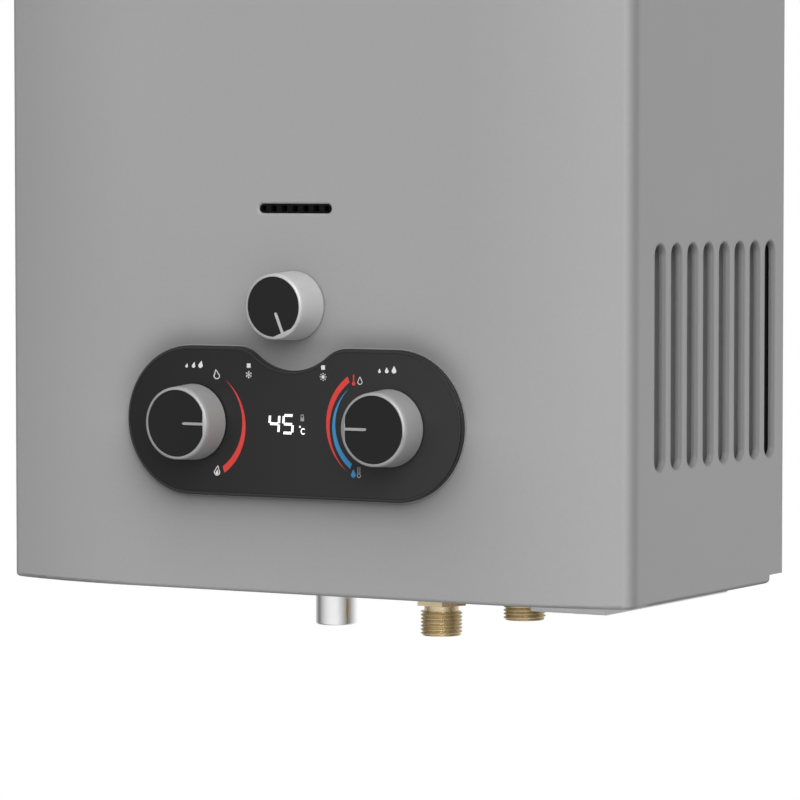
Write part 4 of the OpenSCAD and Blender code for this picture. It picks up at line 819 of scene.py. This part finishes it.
def print_sign(name, ink, draw):
    """Draws a sign with the given function, presses it on to the panel and lets it ride along."""
    mesh = bmesh.new()
    draw(mesh)
    bmesh.ops.remove_doubles(mesh, verts=mesh.verts, dist=SAME_PLACE_MM)
    bmesh.ops.recalc_face_normals(mesh, faces=mesh.faces)
    raise_faces(mesh, (0, 0, INK_MM))
    upright = Matrix.Translation((0, PANEL_Y, BASE_Z)) @ Matrix.Rotation(math.pi / 2, 4, "X")
    bmesh.ops.transform(mesh, verts=mesh.verts, matrix=upright @ Matrix.Scale(MM, 4))
    data = bpy.data.meshes.new(name)
    mesh.to_mesh(data)
    mesh.free()
    sign = bpy.data.objects.new(name, data)
    bpy.context.collection.objects.link(sign)
    data.materials.append(FINISHES[ink])
    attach(sign, "heater")


print(f"panel face at Y {PANEL_Y / MM:.1f} mm")

# %% [markdown]
# ### Tapering scales
# A red scale stands beside the temperature knob, and a red and a blue one beside the water
# knob. Each is the area between two arcs that meet in a point at the thin end. A curve with
# a tapered bevel would give a rounded bead, and ink is flat. So an arc is a single point spun
# about the centre of the circle through three given points, and the two arcs are bridged.

# %% Arcs through three points
ARC_STEPS = 40


def circle_centre(a, b, c):
    """The centre of the circle through three points."""
    d = 2 * (a[0] * (b[1] - c[1]) + b[0] * (c[1] - a[1]) + c[0] * (a[1] - b[1]))
    sa, sb, sc = (p[0] ** 2 + p[1] ** 2 for p in (a, b, c))
    x = (sa * (b[1] - c[1]) + sb * (c[1] - a[1]) + sc * (a[1] - b[1])) / d
    z = (sa * (c[0] - b[0]) + sb * (a[0] - c[0]) + sc * (b[0] - a[0])) / d
    return Vector((x, z))


def spun_arc(mesh, start, through, end):
    """The edges of the arc from one point through another to the last."""
    centre = circle_centre(start, through, end)
    first, second, third = (Vector(point) - centre for point in (start, through, end))
    angle = first.angle_signed(second) + second.angle_signed(third)
    corner = mesh.verts.new((*start, 0))
    before = set(mesh.edges)
    bmesh.ops.spin(
        mesh, geom=[corner], cent=(*centre, 0), axis=(0, 0, 1), angle=-angle, steps=ARC_STEPS
    )
    return [edge for edge in mesh.edges if edge not in before]


print(f"an arc has {ARC_STEPS} steps")

# %% Scales
SCALES = {
    "scale_heat": (
        "red_ink",
        [(-37.2, 103.5), (-25.8, 82.6), (-37.9, 58.2)],
        [(-37.2, 103.5), (-27.6, 82.6), (-38.9, 61.3)],
    ),
    "scale_hot": (
        "red_ink",
        [(31.9, 106.8), (19.8, 84.5), (31.6, 61.1)],
        [(32.8, 104.0), (21.8, 84.6), (31.6, 61.1)],
    ),
    "scale_cold": (
        "blue_ink",
        [(32.7, 101.1), (23.4, 85.0), (33.2, 62.5)],
        [(32.7, 101.1), (24.9, 85.0), (34.1, 65.0)],
    ),
}


def draw_scale(outer, inner):
    def draw(mesh):
        edges = spun_arc(mesh, *outer) + spun_arc(mesh, *inner)
        bmesh.ops.bridge_loops(mesh, edges=edges)

    return draw


for name, (ink, outer, inner) in SCALES.items():
    print_sign(name, ink, draw_scale(outer, inner))
print(f"{len(SCALES)} scales")

# %% [markdown]
# ### Signs
# The signs are the usual ones: a flame and a drop for heat and water, a snowflake and a sun
# for the seasons, and thermometers with drops at the ends of the water scale. A sign font
# would do, but it would have to be read from a file. Drops, discs and bars are enough.

# %% Snowflake and sun
FORK_AT, FORK_LONG, FORK_TURN, FORK_WIDE = 0.55, 0.38, 0.7, 0.8
SUN_DISC, RAY_START = 0.9, 0.64


def ray_end(x, z, reach, angle):
    return x + reach * math.cos(angle), z + reach * math.sin(angle)


def snowflake(mesh, x, z, reach, line):
    """Six arms, each with a fork of two short bars."""
    for k in range(6):
        angle = math.radians(30 + 60 * k)
        add_bar(mesh, x, z, *ray_end(x, z, reach, angle), line)
        fork = ray_end(x, z, FORK_AT * reach, angle)
        for turn in (-FORK_TURN, FORK_TURN):
            tip = ray_end(*fork, FORK_LONG * reach, angle + turn)
            add_bar(mesh, *fork, *tip, FORK_WIDE * line)


def sun_sign(mesh, x, z, reach, line):
    """A disc with eight rays."""
    add_disc(mesh, x, z, SUN_DISC * reach, sides=24)
    for k in range(8):
        angle = math.radians(45 * k)
        start, end = (ray_end(x, z, share * reach, angle) for share in (RAY_START, 1.0))
        add_bar(mesh, *start, *end, line)


print("snowflake and sun ready")

# %% Thermometer, flame and growing drops
STEM_HALF, STEM_FROM = 0.55, 0.5


def thermometer(mesh, x, z, high, bulb, line):
    """An outlined stem with a round bulb under it."""
    for side in (-STEM_HALF, STEM_HALF):
        add_bar(mesh, x + side, z + STEM_FROM * bulb, x + side, z + high, line)
    hollow(mesh, add_disc(mesh, x, z, bulb), line)


def draw_flame(mesh):
    """A flame as an outline with a smaller filled one inside."""
    hollow(mesh, add_drop(mesh, -42.2, 59.2, 3.6, 5.0, lean=0.3), 0.4)
    add_drop(mesh, -42.2, 58.4, 1.7, 2.4, lean=0.4)


def growing(x, z, lean=0.0):
    """Three drops in a row, each larger than the one before."""

    def draw(mesh):
        for k in range(3):
            add_drop(mesh, x + 4.0 * k, z + 0.35 * k, 1.5 + 0.55 * k, 2.1 + 0.7 * k, lean)

    return draw


def drop_outline(x, z, wide, high, line, lean=0.0):
    """A drop of which only the outline is printed."""
    return lambda mesh: hollow(mesh, add_drop(mesh, x, z, wide, high, lean), line)


print("thermometer, flame and drops ready")

# %% Print the signs
SQUARE_Z, SQUARE_WIDE = 110.8, 2.1


def draw_square(x):
    left, right = x - SQUARE_WIDE / 2, x + SQUARE_WIDE / 2
    return lambda mesh: add_bar(mesh, left, SQUARE_Z, right, SQUARE_Z, SQUARE_WIDE)


SIGNS = {
    "sign_heat": ("white_ink", growing(-59.6, 110.1, lean=0.5)),
    "sign_flow": ("white_ink", growing(49.4, 109.9)),
    "sign_drop": ("white_ink", drop_outline(-42.2, 106.2, 3.7, 4.8, 0.42, lean=-0.35)),
    "sign_flame": ("white_ink", draw_flame),
    "square_winter": ("white_ink", draw_square(-23.9)),
    "square_summer": ("white_ink", draw_square(18.1)),
    "sign_winter": ("white_ink", lambda m: snowflake(m, -23.9, 106.4, 1.8, 0.34)),
    "sign_summer": ("white_ink", lambda m: sun_sign(m, 18.1, 106.3, 1.9, 0.38)),
    "sign_hot_stem": ("red_ink", lambda m: add_bar(m, 35.1, 104.2, 35.1, 107.8, 0.7)),
    "sign_hot_bulb": ("red_ink", lambda m: add_disc(m, 35.1, 103.5, 1.9)),
    "sign_hot_drop": ("white_ink", drop_outline(38.6, 105.0, 2.8, 3.9, 0.34)),
    "sign_cold_drop": ("blue_ink", lambda m: add_drop(m, 35.0, 60.3, 2.8, 3.9)),
    "sign_cold_bulb": ("dim_ink", lambda m: thermometer(m, 38.0, 59.4, 4.2, 2.2, 0.4)),
}

for name, (ink, draw) in SIGNS.items():
    print_sign(name, ink, draw)
print(f"{len(SIGNS)} signs printed")

# %% [markdown]
# ### Display figures
# The display behind the dark sheet shows two figures of seven segments, a degree sign and
# a small padlock, and only what is lit shows through. A text object would need a font that
# looks like a display. A segment is a circle of six corners drawn out to a bar with pointed
# ends, and the figures lean a little.

# %% Segments
FIGURE_W, FIGURE_H, SEGMENT, LEAN = 5.3, 8.5, 1.3, 0.07
SEGMENT_GAP = 0.75
SEGMENTS = {"4": "bcfg", "5": "acdfg"}
SEGMENT_ENDS = {
    "a": (0, 1, 1, 1), "b": (1, 0.5, 1, 1), "c": (1, 0, 1, 0.5), "d": (0, 0, 1, 0),
    "f": (0, 0.5, 0, 1), "g": (0, 0.5, 1, 0.5),
}


def add_segment(mesh, x0, z0, x1, z1):
    """A bar with pointed ends that stops just short of both points."""
    length = math.hypot(x1 - x0, z1 - z0) - SEGMENT_GAP
    corners = add_disc(mesh, 0, 0, 1.0, sides=6)
    for corner in corners:
        is_tip, is_edge = abs(corner.co.x) > 0.4, abs(corner.co.y) > 0.1
        reach = 0.5 * (length if is_tip else length - SEGMENT)
        corner.co.x = math.copysign(reach, corner.co.x)
        corner.co.y = math.copysign(0.5 * SEGMENT, corner.co.y) if is_edge else 0
    turn = math.atan2(z1 - z0, x1 - x0)
    middle = placed((x0 + x1) / 2, (z0 + z1) / 2, turn=turn)
    bmesh.ops.transform(mesh, verts=corners, matrix=middle)
    return corners


def draw_figure(x, z, digit):
    """Draws the lit segments of one figure with its lower left corner at (x, z)."""

    def draw(mesh):
        for segment in SEGMENTS[digit]:
            x0, z0, x1, z1 = SEGMENT_ENDS[segment]
            ends = (x0 * FIGURE_W, z0 * FIGURE_H, x1 * FIGURE_W, z1 * FIGURE_H)
            for corner in add_segment(mesh, *ends):
                corner.co.x += x + LEAN * corner.co.y
                corner.co.y += z

    return draw


print(f"figures {FIGURE_W} mm wide and {FIGURE_H} mm high")

# %% Degree sign and padlock
LETTER_X, LETTER_Z, LETTER_HALF_W, LETTER_HALF_H = 6.9, 79.7, 1.15, 1.3
LETTER_FROM, LETTER_SWEEP, LETTER_STEPS, LETTER_LINE = 0.8, 4.7, 16, 0.6


def letter_point(step):
    angle = LETTER_FROM + LETTER_SWEEP * step / LETTER_STEPS
    return LETTER_X + LETTER_HALF_W * math.cos(angle), LETTER_Z + LETTER_HALF_H * math.sin(angle)


def draw_degree(mesh):
    """A small ring and an open round letter for degrees on the hundred-part scale."""
    hollow(mesh, add_disc(mesh, 5.1, 81.9, 1.1, sides=16), 0.3)
    for k in range(LETTER_STEPS):
        add_bar(mesh, *letter_point(k), *letter_point(k + 1), LETTER_LINE)


def draw_lock(mesh):
    """A padlock: a block with a ring standing in it."""
    add_bar(mesh, 5.4, 85.5, 7.4, 85.5, 1.7)
    hollow(mesh, add_disc(mesh, 6.4, 87.0, 1.9, sides=24), 0.4)


print("degree sign and padlock ready")

# %% Light the display
FIGURE_Z = 78.7

print_sign("figure_4", "lit_digits", draw_figure(-12.4, FIGURE_Z, "4"))
print_sign("figure_5", "lit_digits", draw_figure(-4.6, FIGURE_Z, "5"))
print_sign("sign_degree", "lit_digits", draw_degree)
print_sign("sign_lock", "dim_ink", draw_lock)
print("display figures lit")

# %% [markdown]
# ## Screw threads
# The gas and the cold water connection end in half-inch pipe thread: rounded ridges 1.814 mm
# apart at 55 degrees. The CAD has a plain cylinder as wide as the crests there, because
# a thread is too fine for a solid. Rings side by side would look much the same from afar, but
# a thread climbs. So a copy of the connection has that cylinder drawn in to the thread's root,
# and a ridge is wound round it: one section is spun and raised at the same time, as a screw
# is cut on a lathe. The ridge is cut off level at both ends and chamfered at the lower one.

# %% Draw the cylinder in
PITCH_MM, CREST_R, ROOT_R = 1.814, 10.4775, 9.316
CREST_SLACK, LEVEL_SLACK = 0.06, 0.01 * MM


def pull_in(corner, centre, radius):
    """Moves a corner towards an upright axis until it is at the given radius."""
    flat = Vector((corner.co.x, corner.co.y)) - centre
    corner.co.x, corner.co.y = centre + flat * (radius / flat.length)


def draw_in(mesh, centre, low, high):
    """Moves the plain cylinder of the crests' size between two heights to the thread's root."""
    for corner in mesh.verts:
        radius = (Vector((corner.co.x, corner.co.y)) - centre).length
        at_level = low - LEVEL_SLACK < corner.co.z < high + LEVEL_SLACK
        if at_level and ROOT_R * MM < radius < (CREST_R + CREST_SLACK) * MM:
            pull_in(corner, centre, ROOT_R * MM)


print(f"thread root {ROOT_R} mm and crest {CREST_R} mm from the axis")

# %% Wind the ridge
STEPS_PER_TURN, CHAMFER_R = 72, 9.5
RIDGE = [
    (9.10, -0.86), (9.36, -0.80), (9.56, -0.68), (10.30, -0.29), (10.4775, -0.13),
    (10.4775, 0.13), (10.30, 0.29), (9.56, 0.68), (9.36, 0.80), (9.10, 0.86),
]


def wind_ridge(centre, low, high):
    """A closed ridge wound round the core, cut off level at both heights and chamfered below."""
    mesh = bmesh.new()
    start = low - PITCH_MM * MM
    steps = round(((high - low) / (PITCH_MM * MM) + 2) * STEPS_PER_TURN)
    section = [mesh.verts.new((centre.x + r * MM, centre.y, start + h * MM)) for r, h in RIDGE]
    edges = [mesh.edges.new((a, b)) for a, b in zip(section, section[1:] + section[:1])]
    bmesh.ops.spin(
        mesh, geom=section + edges, cent=(centre.x, centre.y, 0), axis=(0, 0, 1),
        dvec=(0, 0, PITCH_MM * MM / STEPS_PER_TURN), angle=2 * math.pi * steps / STEPS_PER_TURN,
        steps=steps,
    )
    for height, away in ((low, -1), (high, 1)):
        bmesh.ops.bisect_plane(
            mesh, geom=everything(mesh), dist=CUT_TOLERANCE, plane_co=(0, 0, height),
            plane_no=(0, 0, away), clear_outer=True,
        )
    bmesh.ops.holes_fill(mesh, edges=[edge for edge in mesh.edges if edge.is_boundary], sides=0)
    for corner in mesh.verts:
        limit = CHAMFER_R * MM + (corner.co.z - low)
        if (Vector((corner.co.x, corner.co.y)) - centre).length > limit:
            pull_in(corner, centre, limit)
    bmesh.ops.recalc_face_normals(mesh, faces=mesh.faces)
    return mesh


print(f"ridge of {len(RIDGE)} points, {STEPS_PER_TURN} steps in a turn")

# %% Cut both threads
def threaded(node, centre_mm, high_mm):
    """A copy of a CAD connection with a thread from its lower end to the given height."""
    centre = Vector(centre_mm) * MM
    low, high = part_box(node)[0].z, BASE_Z + high_mm * MM
    core = merged_copy(node)
    bmesh.ops.dissolve_limit(core, angle_limit=FLAT_ANGLE, verts=core.verts, edges=core.edges)
    draw_in(core, centre, low, high)
    ridge = wind_ridge(centre, low, high)
    wound = bpy.data.meshes.new(node + "_ridge")
    ridge.to_mesh(wound)
    ridge.free()
    core.from_mesh(wound)
    bpy.data.meshes.remove(wound)
    faces = add_piece(node + "_threaded", core, "heater", "brass", node)
    print(f"{node}: {(high - low) / PITCH_MM / MM:.1f} turns of thread, {faces} faces")


threaded("gas_inlet", (31, -92), -14.1)
threaded("cold_inlet", (78, -92), -3.9)
